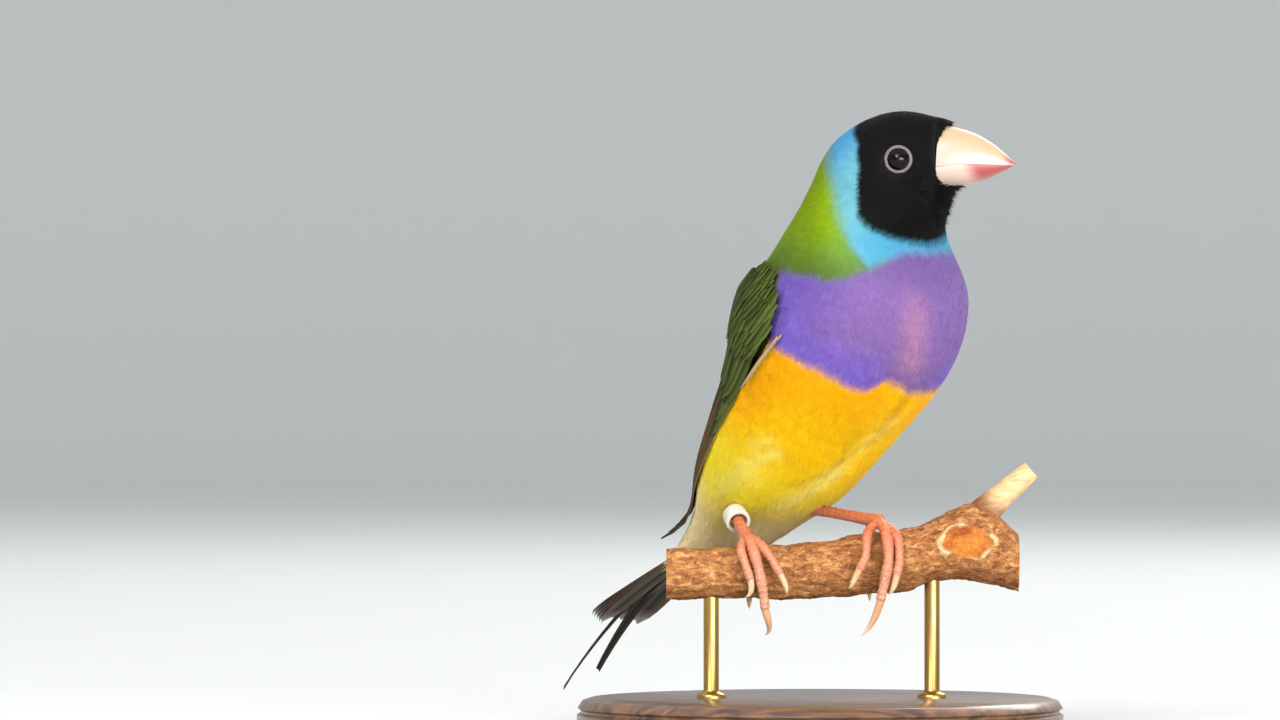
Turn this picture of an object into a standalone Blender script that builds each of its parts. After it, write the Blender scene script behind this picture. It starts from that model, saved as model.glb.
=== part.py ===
"""A life-size gouldian finch gripping a short cut length of branch, on a plain display stand.

Frame: metres, +Z up, origin at the centre of the stand's underside. The branch runs along X.
The bird faces -Y and a little to +X, and its head is turned further towards +X.
"""

import math
import random

import bmesh
import bpy
from mathutils import Matrix, Vector, noise
from mathutils.bvhtree import BVHTree

MM = 0.001
GAP = 0.3 * MM

# The body is a loft along its spine. Each station gives its centre in mm, the way it faces in
# degrees (0 is -Y, 90 is +X), its pitch in degrees, and its half width, depth to the back and
# depth to the belly in mm.
STATIONS = (
    ("over_tail", (-21.6, 30.6, 24.4), 40, 25, 6.2, 4.6, 3.4),
    ("tail_root", (-14.9, 22.6, 30.0), 40, 30, 6.4, 5.2, 4.7),
    ("vent", (-10.3, 16.0, 36.1), 40, 38, 9.9, 8.6, 7.3),
    ("belly", (-5.2, 8.2, 44.0), 40, 45, 12.7, 11.2, 11.2),
    ("low_breast", (-0.4, 1.7, 51.8), 40, 53, 14.8, 13.5, 13.3),
    ("breast", (4.2, -5.2, 63.3), 41, 62, 17.2, 15.1, 17.7),
    ("shoulders", (7.0, -8.9, 71.4), 43, 68, 16.3, 13.1, 16.4),
    ("neck_base", (8.0, -10.4, 77.4), 47, 75, 13.5, 11.8, 10.8),
    ("throat", (8.9, -11.5, 82.3), 56, 74, 10.3, 11.0, 10.6),
    ("nape", (10.4, -12.3, 86.1), 66, 62, 9.0, 10.3, 10.4),
    ("crown", (12.3, -12.8, 88.4), 72, 42, 8.1, 8.6, 8.4),
    ("forehead", (14.9, -13.5, 89.3), 75, 20, 7.0, 7.4, 6.7),
    ("face", (18.3, -14.4, 89.2), 75, 0, 4.9, 5.9, 4.9),
)
# The chin's feathers stand off the loft: how far behind the face, how far they spread along and round,
# and how high they stand.
CHIN_BEHIND_FACE = 2.2 * MM
CHIN_LENGTH = 2.6 * MM
CHIN_TURN = math.radians(42)
CHIN_HEIGHT = 1.3 * MM
BODY_SIDES = 26
TORSO_RINGS = 15
NECK_RINGS = 5
HEAD_RINGS = 11

# The bill, along its own axis from the face: distance ahead, height of the upper half above the
# line of the mouth, depth of the lower half under it, and half width.
BILL_LENGTH = 11.7 * MM
BILL_PITCH = -1.5
MOUTH_BELOW_FACE = 1.1 * MM
BILL_STEPS = (
    (0.0, 6.0, 3.9, 4.3),
    (0.14, 5.75, 3.6, 3.95),
    (0.32, 5.25, 3.3, 3.35),
    (0.5, 4.45, 2.75, 2.7),
    (0.68, 3.25, 2.0, 1.95),
    (0.84, 1.8, 1.1, 1.15),
    (0.96, 0.65, 0.35, 0.45),
)
BILL_ARCH = 8
BILL_ROUND = 0.85
LOWER_SHORTER = 0.5 * MM
NOSTRIL = 0.5 * MM
# The nostril's place: ahead of the face, up and to the side.
NOSTRIL_PLACE = (1.0, 3.3, 2.75)

EYE_RADIUS = 2.2 * MM
EYE_BEHIND_FACE = 4.9 * MM
EYE_BELOW_FACE = 0.55 * MM
EYE_PROUD = 0.95 * MM
LID_RING = 2.02 * MM
LID_THICK = 0.44 * MM
LID_PROUD = 0.1 * MM
LID_SIDES = 6
LID_STEPS = 16
SOCKET_GAP = 0.25 * MM
EYE_FORWARD = 0.12

# The folded wing, measured in mm back from the wrist along the spine and in degrees round the
# body from the middle of the back.
WRIST_ABOVE_BREAST = 6.0 * MM
WING_INNER = 0.35 * MM
WING_RECESS = 1.5 * MM
VANE_THICK = 0.5 * MM
ARM_THICK = 1.15 * MM
ARM_SIDES = 6
ARM_ROWS = (
    (-2.5, 62, 80),
    (0.5, 45, 94),
    (5.0, 34, 100),
    (11.0, 27, 94),
    (18.0, 24, 85),
    (25.0, 24, 76),
    (30.0, 28, 70),
)
# The primaries' lower edge behind the arm: mm behind the wrist and degrees from the spine.
PRIMARY_FOOT = ((37.0, 63), (45.0, 58))
# How far inside and outside the wing's lower edge its bed in the body ends, in degrees.
COVER_EDGE = (4, 10)
VANE_TILT = 0.22
VANE_STEP = 0.06
TIP_SCATTER = 0.4
CORE_EDGE = 0.35
# Each tier of feathers: how many, the first and last one's root and tip as (mm behind the wrist,
# degrees from the spine), half width in mm, lift at root and tip in mm, and how pointed they are.
WING_TIERS = (
    (8, (((22, 62), (48, 38)), ((14, 80), (62.5, 47))), 2.3, (0.8, 1.25), 0.35),
    (6, (((20, 40), (40, 30)), ((20, 66), (47, 46))), 2.7, (1.0, 1.3), 0.1),
    (4, (((15, 28), (27, 17)), ((18, 42), (41, 28))), 3.3, (1.25, 1.4), 0.1),
    (5, (((9, 75), (23, 69)), ((7, 87), (33, 70))), 2.3, (1.05, 1.0), 0.15),
    (9, (((9, 29), (21, 23)), ((8, 81), (25, 67))), 2.6, (1.3, 1.45), 0.1),
    (8, (((3, 38), (13, 30)), ((3, 91), (14, 86))), 2.9, (1.5, 1.75), 0.1),
)

TAIL_LENGTH = 35.0 * MM
PIN_LENGTH = 46.0 * MM
PIN_DROOP = 9.0 * MM
TAIL_PITCH = 23.0
TAIL_COVERTS = 13.0 * MM
TAIL_SIDES = 14
# The coverts that hide the roots of the tail: share of their length and how slim they are there.
COVERT_STEPS = ((0.0, 1.0), (0.25, 0.82), (0.6, 0.58), (1.0, 0.3))
TAIL_PAIRS = 6
PAIR_SHORTER = 1.1 * MM
LEFT_PIN_SHORTER = 8.0 * MM
RECTRIX_HALF = 2.3 * MM
PIN_HALF = 1.3 * MM
PIN_POINTED = 0.9
RECTRIX_ROOT = 4.0 * MM
# How far apart the pairs lie at their roots, across and up, and how much more at their tips.
PAIR_ACROSS = 0.3 * MM
PAIR_UP = 0.32 * MM
PAIR_SPREAD = 0.32 * MM
PAIR_DROOP = 0.5 * MM
RECTRIX_TILT = 0.3 * MM

# The branch: distance along X, height of its middle and radius, in mm.
PERCH_STATIONS = (
    (-24.0, 24.3, 4.3),
    (-14.0, 24.6, 4.2),
    (-5.5, 24.7, 4.5),
    (2.0, 25.2, 4.7),
    (8.0, 26.0, 5.1),
    (13.0, 26.6, 5.2),
    (18.0, 28.0, 5.2),
    (23.0, 29.4, 6.1),
    (27.0, 28.4, 5.9),
    (31.0, 26.0, 4.6),
)
PERCH_SIDES = 16
PERCH_RINGS = 20
PERCH_ROUGH = 0.22 * MM
# The broken twig that forks off the branch, in mm, and its radius at each point.
TWIG_POINTS = ((22.5, 0.5, 31.0), (28.4, 0.0, 36.6), (33.0, -0.4, 40.6))
TWIG_RADII = (3.0 * MM, 2.0 * MM, 1.6 * MM)
TWIG_SIDES = 12

BASE_RADIUS = 38.0 * MM
BASE_HEIGHT = 5.0 * MM
BASE_BEVEL = 0.8 * MM
ROD_RADIUS = 1.2 * MM
ROD_PLACES = (-17.0 * MM, 17.5 * MM)
ROD_INSIDE = 1.2 * MM
BASE_SIDES = 48

# The legs, in mm: the hip inside the body, the ankle, the knuckle where the toes part, and each
# toe's points with the claw's points after them.
LEGS = {
    "right": {
        "hip": (-8.6, 12.6, 43.0),
        "ankle": (-14.3, 7.9, 35.6),
        "knuckle": (-11.6, -2.2, 30.2),
        "toes": {
            "middle": ((-10.9, -4.4, 29.3), (-9.6, -5.9, 25.0), (-8.9, -5.4, 21.2), (-8.6, -4.8, 18.8)),
            "inner": ((-12.4, -4.6, 28.4), (-11.6, -5.9, 25.6), (-10.9, -5.9, 23.5)),
            "outer": ((-9.6, -4.4, 29.3), (-7.6, -5.9, 26.7), (-6.2, -6.0, 24.3)),
            "hind": ((-11.3, 1.2, 30.4), (-11.1, 4.4, 29.0), (-11.0, 6.0, 25.7), (-11.0, 5.8, 22.9)),
        },
        "claws": {
            "middle": ((-8.1, -4.1, 17.0), (-8.0, -3.0, 15.7), (-8.6, -2.0, 14.8)),
            "inner": ((-10.8, -5.9, 22.2), (-11.1, -5.5, 21.3), (-11.7, -4.9, 20.8)),
            "outer": ((-5.6, -6.0, 23.0), (-5.3, -5.7, 22.0), (-5.3, -5.1, 21.3)),
            "hind": ((-11.0, 5.2, 21.2), (-11.0, 4.2, 19.7), (-11.0, 2.8, 18.8)),
        },
    },
    "left": {
        "hip": (0.3, 13.6, 42.0),
        "ankle": (-1.2, 8.2, 34.4),
        "knuckle": (8.9, -2.7, 32.7),
        "toes": {
            "middle": ((10.1, -5.3, 31.0), (10.5, -7.0, 27.0), (9.9, -6.9, 23.5), (9.2, -6.2, 20.0)),
            "inner": ((7.3, -5.4, 30.8), (6.9, -6.8, 27.2), (5.8, -6.9, 24.9)),
            "outer": ((11.7, -5.4, 30.6), (12.2, -7.0, 26.8), (11.7, -7.1, 24.1)),
            "hind": ((8.6, 0.8, 33.0), (8.1, 5.1, 31.4), (7.9, 7.1, 27.6), (7.9, 7.0, 24.5)),
        },
        "claws": {
            "middle": ((8.5, -5.4, 18.0), (7.5, -4.8, 16.1), (6.2, -4.1, 14.7)),
            "inner": ((5.2, -6.8, 23.7), (4.8, -6.4, 22.8), (4.3, -5.8, 22.2)),
            "outer": ((11.4, -7.0, 22.8), (11.0, -6.6, 21.9), (10.5, -6.1, 21.3)),
            "hind": ((7.9, 6.4, 22.7), (7.9, 5.4, 21.1), (7.9, 4.0, 20.0)),
        },
    },
}
# The feathered shank: share of the way from hip to ankle, on past 1 along the shin, and radius.
THIGH_STEPS = (
    (0.0, 2.9),
    (0.45, 3.3),
    (0.8, 3.2),
    (1.0, 2.8),
    (1.15, 2.3),
    (1.25, 1.9),
)
THIGH_SIDES = 12
TARSUS_RADIUS = 1.0 * MM
TOE_RADII = {"middle": 0.95 * MM, "inner": 0.82 * MM, "outer": 0.82 * MM, "hind": 0.95 * MM}
CLAW_SHARE = 0.62
TOE_SIDES = 8
CLAW_SIDES = 6
RING_INNER = 1.4 * MM
RING_OUTER = 1.95 * MM
RING_LENGTH = 2.6 * MM
RING_PLACE = 0.48
RING_SIDES = 18
TOE_STEPS = 8
TOE_TAPER = 0.18
CLAW_STEPS = (1.0, 0.95, 0.75, 0.45, 0.12)
SHIN_STEPS = (1.15, 0.9, 0.88, 0.98, 1.2)

SEED = 7


def mm(point):
    """A point given in millimetres as a vector in metres."""
    return Vector(point) * MM


def clear_scene():
    """Removes whatever the new file holds."""
    for old in list(bpy.data.objects):
        bpy.data.objects.remove(old)


def make_material(name, colour, roughness, metallic=0.0):
    """A Principled material from an sRGB hex colour."""
    material = bpy.data.materials.new(name)
    material.use_nodes = True
    shader = material.node_tree.nodes["Principled BSDF"]
    channels = [int(colour[i : i + 2], 16) / 255 for i in (1, 3, 5)]
    linear = [c / 12.92 if c <= 0.04045 else ((c + 0.055) / 1.055) ** 2.4 for c in channels]
    shader.inputs["Base Color"].default_value = (*linear, 1.0)
    shader.inputs["Roughness"].default_value = roughness
    shader.inputs["Metallic"].default_value = metallic
    return material


def make_object(name, shape, material):
    """Turns a bmesh into a smooth-shaded object with outward faces."""
    bmesh.ops.recalc_face_normals(shape, faces=shape.faces)
    mesh = bpy.data.meshes.new(name)
    shape.to_mesh(mesh)
    shape.free()
    mesh.shade_smooth()
    mesh.set_sharp_from_angle(angle=math.radians(40))
    made = bpy.data.objects.new(name, mesh)
    made.data.materials.append(material)
    bpy.context.scene.collection.objects.link(made)
    return made


def ease(low, high, value):
    """0 below low, 1 above high, and a smooth step between them."""
    share = min(1.0, max(0.0, (value - low) / (high - low)))
    return share * share * (3 - 2 * share)


def smooth_curve(places, values, at):
    """Reads a smooth curve through values that stand at rising places."""
    last = len(places) - 1
    low = max(0, min(last - 1, sum(1 for place in places[1:-1] if place <= at)))
    high = low + 1

    def slope(index):
        before, after = max(0, index - 1), min(last, index + 1)
        return (values[after] - values[before]) * (1 / (places[after] - places[before]))

    width = places[high] - places[low]
    share = (at - places[low]) / width
    rise = values[high] - values[low]
    first, second = slope(low) * width, slope(high) * width
    bend = first * (share * (1 - share) ** 2) - second * (share**2 * (1 - share))
    return values[low] + rise * (share * share * (3 - 2 * share)) + bend


def loft(rings, open_ends=False):
    """A closed skin through rings of equally many points, each ring extruded from the last."""
    shape = bmesh.new()
    row = [shape.verts.new(point) for point in rings[0]]
    edges = [shape.edges.new((row[i - 1], row[i])) for i in range(len(row))]
    ends = [list(edges)]
    for ring in rings[1:]:
        grown = bmesh.ops.extrude_edge_only(shape, edges=edges)["geom"]
        fresh = {item for item in grown if isinstance(item, bmesh.types.BMVert)}
        edges = [
            item
            for item in grown
            if isinstance(item, bmesh.types.BMEdge) and all(v in fresh for v in item.verts)
        ]
        row = [next(e.other_vert(v) for e in v.link_edges if e.other_vert(v) in fresh) for v in row]
        for vert, point in zip(row, ring):
            vert.co = point
    ends.append(edges)
    if not open_ends:
        for end in ends:
            bmesh.ops.contextual_create(shape, geom=end)
    return shape


STATION_AT = [0.0]
for before, after in zip(STATIONS, STATIONS[1:]):
    STATION_AT.append(STATION_AT[-1] + (mm(after[1]) - mm(before[1])).length)
STATION_NAMES = [station[0] for station in STATIONS]


def along(name):
    """How far along the spine a station stands."""
    return STATION_AT[STATION_NAMES.index(name)]


def body_frame(at):
    """The loft's centre, its directions right, to the back and ahead, and its half sizes."""
    centre = smooth_curve(STATION_AT, [mm(station[1]) for station in STATIONS], at)
    facing, pitch, width, back, front = (
        smooth_curve(STATION_AT, [station[i] for station in STATIONS], at) for i in range(2, 7)
    )
    turn, rise = math.radians(facing), math.radians(pitch)
    right = Vector((-math.cos(turn), -math.sin(turn), 0))
    ahead = Vector((math.cos(rise) * math.sin(turn), -math.cos(rise) * math.cos(turn), math.sin(rise)))
    return centre, right, right.cross(ahead), ahead, width * MM, back * MM, front * MM


def wing_foot(at):
    """The folded wing's lower edge at a place on the spine, in degrees."""
    rows = [(row[0], row[2]) for row in ARM_ROWS] + list(PRIMARY_FOOT)
    back = (along("breast") + WRIST_ABOVE_BREAST - at) / MM
    back = min(max(back, rows[0][0]), rows[-1][0])
    return smooth_curve([row[0] for row in rows], [row[1] for row in rows], back)


def wing_cover(at, angle):
    """How deep the torso lies under the folded wing, from 0 to 1."""
    spread = abs(math.degrees(angle))
    foot = wing_foot(at)
    return (
        ease(18, 34, spread)
        * (1 - ease(foot - COVER_EDGE[0], foot + COVER_EDGE[1], spread))
        * (1 - ease(along("breast"), along("shoulders"), at))
        * ease(along("tail_root"), along("vent"), at)
    )


def chin(at, angle):
    """How far the chin stands off the plain loft."""
    place = (at - along("face") + CHIN_BEHIND_FACE) / CHIN_LENGTH
    turn = (math.pi - abs(angle)) / CHIN_TURN
    return CHIN_HEIGHT * math.exp(-(place**2) - turn**2)


def body_point(at, angle, lift=0.0):
    """A point on the body at an angle round it, 0 at the back and positive to its right."""
    centre, right, back_way, _, width, back, front = body_frame(at)
    lift += chin(at, angle)
    depth = back if math.cos(angle) > 0 else front
    flat = right * (math.sin(angle) * width) + back_way * (math.cos(angle) * depth)
    outward = (right * (math.sin(angle) / width) + back_way * (math.cos(angle) / depth)).normalized()
    return centre + flat + outward * lift


def body_ring(at, lift=0.0, shift=0.0, recess=0.0):
    """One ring of the loft, moved ahead by shift and sunk where the wing lies."""
    ahead = body_frame(at)[3]
    angles = [math.tau * i / BODY_SIDES for i in range(BODY_SIDES)]
    angles = [angle if angle <= math.pi else angle - math.tau for angle in angles]
    return [
        body_point(at, angle, lift - recess * wing_cover(at, angle)) + ahead * shift for angle in angles
    ]


def body_length(first, last, count, lift=0.0, recess=0.0):
    """The loft between two places, its first ring standing a gap ahead of the one before."""
    step = (last - first) / (count - 1)
    rings = [body_ring(first, lift, GAP, recess)]
    rings += [body_ring(first + step * i, lift, 0.0, recess) for i in range(1, count)]
    return loft(rings)


def apply_modifiers(made):
    """Gives an object the mesh that its modifiers make."""
    graph = bpy.context.evaluated_depsgraph_get()
    mesh = bpy.data.meshes.new_from_object(made.evaluated_get(graph))
    made.modifiers.clear()
    made.data = mesh


def cut_away(made, cutters):
    """Cuts each shape out of an object and removes the cutters."""
    for cutter in cutters:
        cut = made.modifiers.new("cut", "BOOLEAN")
        cut.operation = "DIFFERENCE"
        cut.solver = "EXACT"
        cut.object = cutter
        apply_modifiers(made)
        bpy.data.objects.remove(cutter)
    keep_largest(made)


def fuse(made, pieces):
    """Joins a node's pieces to it by one union on a collection, then removes them."""
    group = bpy.data.collections.new(made.name + "_pieces")
    bpy.context.scene.collection.children.link(group)
    for piece in pieces:
        bpy.context.scene.collection.objects.unlink(piece)
        group.objects.link(piece)
    join = made.modifiers.new("join", "BOOLEAN")
    join.operation = "UNION"
    join.operand_type = "COLLECTION"
    join.solver = "MANIFOLD"
    join.collection = group
    apply_modifiers(made)
    for piece in pieces:
        bpy.data.objects.remove(piece)
    bpy.data.collections.remove(group)
    keep_largest(made)


def keep_largest(made):
    """Keeps only the largest closed surface of a mesh."""
    shape = bmesh.new()
    shape.from_mesh(made.data)
    left = set(shape.faces)
    groups = []
    while left:
        group, front = set(), [left.pop()]
        while front:
            face = front.pop()
            group.add(face)
            for edge in face.edges:
                near = [other for other in edge.link_faces if other in left]
                left.difference_update(near)
                front.extend(near)
        groups.append(group)
    groups.sort(key=lambda group: sum(face.calc_area() for face in group))
    loose = [face for group in groups[:-1] for face in group]
    bmesh.ops.delete(shape, geom=loose, context="FACES")
    shape.to_mesh(made.data)
    shape.free()


def face_frame():
    """The middle of the bill's base with the head's directions right, up and ahead."""
    centre, right, up, ahead, *_ = body_frame(along("face"))
    return centre, right, up, ahead


def make_torso(colour):
    """Breast, belly and back, from the tail root to the neck."""
    first, last = along("tail_root"), along("neck_base")
    shape = body_length(first, last, TORSO_RINGS, recess=WING_RECESS)
    return make_object("torso", shape, colour)


def make_neck(colour):
    """The collar between the shoulders and the head."""
    shape = body_length(along("neck_base"), along("throat"), NECK_RINGS)
    return make_object("neck", shape, colour)


def eye_place(side, surface):
    """Where the line out through an eye meets the head, and that line's direction."""
    centre, right, up, ahead = face_frame()
    start = centre - ahead * EYE_BEHIND_FACE - up * EYE_BELOW_FACE
    outward = (right * side + ahead * EYE_FORWARD).normalized()
    far = start + right * (side * 20 * MM)
    hit = surface.ray_cast(far, -right * side)[0]
    return hit, outward


def ball(name, centre, radius, colour, segments=16, rings=10):
    """A round ball."""
    shape = bmesh.new()
    place = Matrix.Translation(centre)
    bmesh.ops.create_uvsphere(shape, u_segments=segments, v_segments=rings, radius=radius, matrix=place)
    return make_object(name, shape, colour)


def tube_ring(centre, outward, radius, sides):
    """Points of a circle across a direction."""
    side = outward.orthogonal().normalized()
    other = outward.cross(side)
    turns = [math.tau * i / sides for i in range(sides)]
    return [centre + (side * math.cos(turn) + other * math.sin(turn)) * radius for turn in turns]


def lid_shape(centre, outward):
    """A thin raised ring round the eye."""
    shape = bmesh.new()
    circle = [
        shape.verts.new((LID_RING + LID_THICK * math.cos(turn), 0, LID_THICK * math.sin(turn)))
        for turn in (math.tau * i / LID_SIDES for i in range(LID_SIDES))
    ]
    edges = [shape.edges.new((circle[i - 1], circle[i])) for i in range(LID_SIDES)]
    bmesh.ops.spin(
        shape,
        geom=circle + edges,
        axis=(0, 0, 1),
        cent=(0, 0, 0),
        steps=LID_STEPS,
        angle=math.tau,
        use_merge=True,
    )
    turn = outward.to_track_quat("Z", "Y").to_matrix().to_4x4()
    bmesh.ops.transform(shape, matrix=Matrix.Translation(centre) @ turn, verts=shape.verts)
    return shape


def make_head(colour, eye_colour):
    """The head with its lids, and the two eyes in their sockets."""
    shape = body_length(along("throat"), along("face"), HEAD_RINGS)
    surface = BVHTree.FromBMesh(shape)
    head = make_object("head", shape, colour)
    lids, sockets = [], []
    for name, side in (("right", 1), ("left", -1)):
        place, outward = eye_place(side, surface)
        middle = place + outward * (EYE_PROUD - EYE_RADIUS)
        lids.append(make_object("lid", lid_shape(place + outward * LID_PROUD, outward), colour))
        sockets.append(ball("socket", middle, EYE_RADIUS + SOCKET_GAP, colour))
        ball("eye_" + name, middle, EYE_RADIUS, eye_colour)
    fuse(head, lids)
    cut_away(head, sockets)
    return head


def bill_half(upper):
    """One half of the bill, from the face to its tip."""
    face, right, _, _ = face_frame()
    turn = Matrix.Rotation(math.radians(BILL_PITCH), 3, right)
    _, _, up, ahead = (turn @ item for item in face_frame())
    start = face + ahead * GAP - up * MOUTH_BELOW_FACE
    way = 1 if upper else -1
    rings = []
    for share, height, depth, width in BILL_STEPS:
        tall = (height if upper else depth) * MM
        long = BILL_LENGTH if upper else BILL_LENGTH - LOWER_SHORTER
        middle = start + ahead * (long * share) + up * (way * GAP / 2)
        arch = []
        for i in range(BILL_ARCH + 1):
            turned = math.pi * i / BILL_ARCH
            out = math.cos(turned) * width * MM
            arch.append(middle + right * out + up * (way * tall * math.sin(turned) ** BILL_ROUND))
        rings.append(arch)
    return loft(rings)


def make_bill(colour):
    """The two halves of the bill with the nostrils at the base of the upper one."""
    upper = make_object("bill_upper", bill_half(True), colour)
    make_object("bill_lower", bill_half(False), colour)
    face, right, up, ahead = face_frame()
    holes = []
    forward, high, out = NOSTRIL_PLACE
    for side in (1, -1):
        place = face + (ahead * forward + up * high + right * (side * out)) * MM
        holes.append(ball("nostril", place, NOSTRIL, colour, 8, 6))
    cut_away(upper, holes)


def vane_outline(share, pointed):
    """A feather's half width from its root to its tip, as a share of its widest."""
    root = 0.55 + 0.45 * ease(0.0, 0.35, share)
    tip = max(0.0, 1 - ((share - 0.72) / 0.28) ** 2) ** 0.5 if share > 0.72 else 1.0
    point = 1 - ease(0.2, 1.0, share) * 0.85
    return root * (tip * (1 - pointed) + point * pointed) + 0.06


def vane(place, thick, steps, pointed):
    """A closed feather vane. place(share, across) gives a point of its underside."""
    shape = bmesh.new()
    bmesh.ops.create_grid(shape, x_segments=1, y_segments=steps, size=1.0)
    for vert in shape.verts:
        share = (vert.co.y + 1) / 2
        vert.co = place(share, vert.co.x * vane_outline(share, pointed))
    bmesh.ops.triangulate(shape, faces=shape.faces, quad_method="FIXED")
    bmesh.ops.recalc_face_normals(shape, faces=shape.faces)
    bmesh.ops.solidify(shape, geom=shape.faces, thickness=thick)
    return shape


def make_tail(colour):
    """Twelve tail feathers in a closed fan, the middle pair drawn out to pins."""
    start = along("tail_root")
    centre, right, up, ahead, width, back, front = body_frame(start)
    rise = math.radians(TAIL_PITCH)
    flat = Vector((ahead.x, ahead.y, 0)).normalized()
    away = -(flat * math.cos(rise) + Vector((0, 0, math.sin(rise))))
    lift_way = right.cross(-away)
    rings = []
    for share, slim in COVERT_STEPS:
        middle = centre - ahead * (GAP if share == 0 else 0) + away * (TAIL_COVERTS * share)
        ring = []
        for i in range(TAIL_SIDES):
            turn = math.tau * i / TAIL_SIDES
            high = (back if math.cos(turn) > 0 else front) * slim**1.4
            side = right * (math.sin(turn) * width * (0.35 + 0.65 * slim))
            ring.append(middle + side + up * (math.cos(turn) * high))
        rings.append(ring)
    tail = make_object("tail", loft(rings), colour)
    pieces = []
    for pair in range(TAIL_PAIRS):
        for side in (1, -1):
            pins = pair == 0
            length = PIN_LENGTH if pins else TAIL_LENGTH - PAIR_SHORTER * pair
            if pins and side < 0:
                length -= LEFT_PIN_SHORTER
            run = away * (length - RECTRIX_ROOT)
            half = PIN_HALF if pins else RECTRIX_HALF
            root = centre + away * RECTRIX_ROOT + right * (side * PAIR_ACROSS * (pair + 0.7))
            root += lift_way * PAIR_UP * (2.8 - pair)
            spread = right * (side * PAIR_SPREAD * (pair + 0.8))
            droop = lift_way * (PIN_DROOP if pins else PAIR_DROOP * pair)
            tilt = right * half - lift_way * (side * RECTRIX_TILT)

            def place(share, across, root=root, run=run + spread, droop=droop, tilt=tilt):
                return root + run * share - droop * share**2 + tilt * across

            shape = vane(place, VANE_THICK, 6, PIN_POINTED if pins else 0.0)
            pieces.append(make_object("rectrix", shape, colour))
    fuse(tail, pieces)
    return tail


def wing_point(side, back, angle, lift):
    """A point over the body, given in mm behind the wrist and degrees round from the spine."""
    wrist = along("breast") + WRIST_ABOVE_BREAST
    return body_point(wrist - back * MM, math.radians(angle) * side, lift)


def wing_vane(side, root, tip, half, lifts, colour, pointed):
    """One feather lying along the folded wing, its lower edge the prouder one."""

    def place(share, across):
        back = root[0] + (tip[0] - root[0]) * share
        angle = root[1] + (tip[1] - root[1]) * share
        lift = lifts[0] + (lifts[1] - lifts[0]) * share
        girth = (wing_point(side, back, angle + 1, 0) - wing_point(side, back, angle - 1, 0)).length / 2
        turned = angle + across * half * MM / girth
        return wing_point(side, back, turned, (lift + VANE_TILT * across) * MM)

    return make_object("vane", vane(place, VANE_THICK, 5, pointed), colour)


def wing_core(side):
    """The arm of the wing, which the coverts hide."""
    rings = []
    for back, high, low in ARM_ROWS:
        angles = [high + (low - high) * i / ARM_SIDES for i in range(ARM_SIDES + 1)]
        edge = [CORE_EDGE if i in (0, ARM_SIDES) else 1.0 for i in range(ARM_SIDES + 1)]
        outer = [wing_point(side, back, a, WING_INNER + ARM_THICK * e) for a, e in zip(angles, edge)]
        inner = [wing_point(side, back, a, WING_INNER) for a in angles]
        rings.append(outer + inner[::-1])
    return loft(rings)


def wing_tier(side, tier, draw, colour):
    """One tier of vanes, spread evenly from its first feather to its last."""
    count, (first, last), half, lifts, pointed = tier
    vanes = []
    for i in range(count):
        share = i / max(1, count - 1)
        root = [first[0][k] + (last[0][k] - first[0][k]) * share for k in (0, 1)]
        tip = [first[1][k] + (last[1][k] - first[1][k]) * share for k in (0, 1)]
        tip[0] += draw.uniform(-TIP_SCATTER, TIP_SCATTER)
        lift = [value - VANE_STEP * i for value in lifts]
        width = half * draw.uniform(0.95, 1.05)
        vanes.append(wing_vane(side, root, tip, width, lift, colour, pointed))
    return vanes


def make_wing(name, side, colour):
    """A folded wing: tiers of coverts over tertials, secondaries and primaries."""
    draw = random.Random(SEED + side)
    wing = make_object("wing_" + name, wing_core(side), colour)
    vanes = []
    for tier in WING_TIERS:
        vanes += wing_tier(side, tier, draw, colour)
    fuse(wing, vanes)
    return wing


def tube(points, radii, sides):
    """A round limb through points, each ring square to the way it runs."""
    rings = []
    turned = None
    for i, point in enumerate(points):
        before, after = points[max(0, i - 1)], points[min(len(points) - 1, i + 1)]
        way = (after - before).normalized()
        if turned is None:
            turned = way.orthogonal().normalized()
        turned = (turned - way * turned.dot(way)).normalized()
        other = way.cross(turned)
        spots = [math.tau * k / sides for k in range(sides)]
        rings.append([point + (turned * math.cos(a) + other * math.sin(a)) * radii[i] for a in spots])
    return loft(rings)


def bend_through(points, count):
    """Evenly spread points on a smooth curve through a few."""
    places = [0.0]
    for before, after in zip(points, points[1:]):
        places.append(places[-1] + (after - before).length)
    return [smooth_curve(places, points, places[-1] * i / (count - 1)) for i in range(count)]


def make_leg(name, colour, claw_colour):
    """The bare lower leg with its four toes, and the four claws."""
    plan = LEGS[name]
    ankle, knuckle = mm(plan["ankle"]), mm(plan["knuckle"])
    leg = make_object("leg_" + name, shin_shape(ankle, knuckle), colour)
    pieces = []
    for toe, points in plan["toes"].items():
        thick = TOE_RADII[toe]
        line = bend_through([knuckle] + [mm(point) for point in points], TOE_STEPS)
        swell = [1.0 if i % 2 else 0.9 for i in range(TOE_STEPS)]
        widths = [thick * share * (1 - TOE_TAPER * i / TOE_STEPS) for i, share in enumerate(swell)]
        pieces.append(make_object("toe", tube(line, widths, TOE_SIDES), colour))
        make_claw(name, toe, mm(points[-1]), [mm(point) for point in plan["claws"][toe]], thick, claw_colour)
    fuse(leg, pieces)
    cut_away(leg, [body_cutter(colour)])
    return leg


def shin_shape(ankle, knuckle, lift=0.0):
    """The bare lower leg, a little thicker at both joints."""
    way = (knuckle - ankle).normalized()
    line = bend_through([ankle - way * lift, ankle.lerp(knuckle, 0.5), knuckle + way * 0.5 * MM], 5)
    sizes = [TARSUS_RADIUS * share + lift for share in SHIN_STEPS]
    return tube(line, sizes, TOE_SIDES)


def body_cutter(colour):
    """The torso grown by one gap, for cutting what meets it."""
    shape = body_length(along("tail_root"), along("neck_base"), TORSO_RINGS, GAP, WING_RECESS)
    return make_object("body_cutter", shape, colour)


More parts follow.
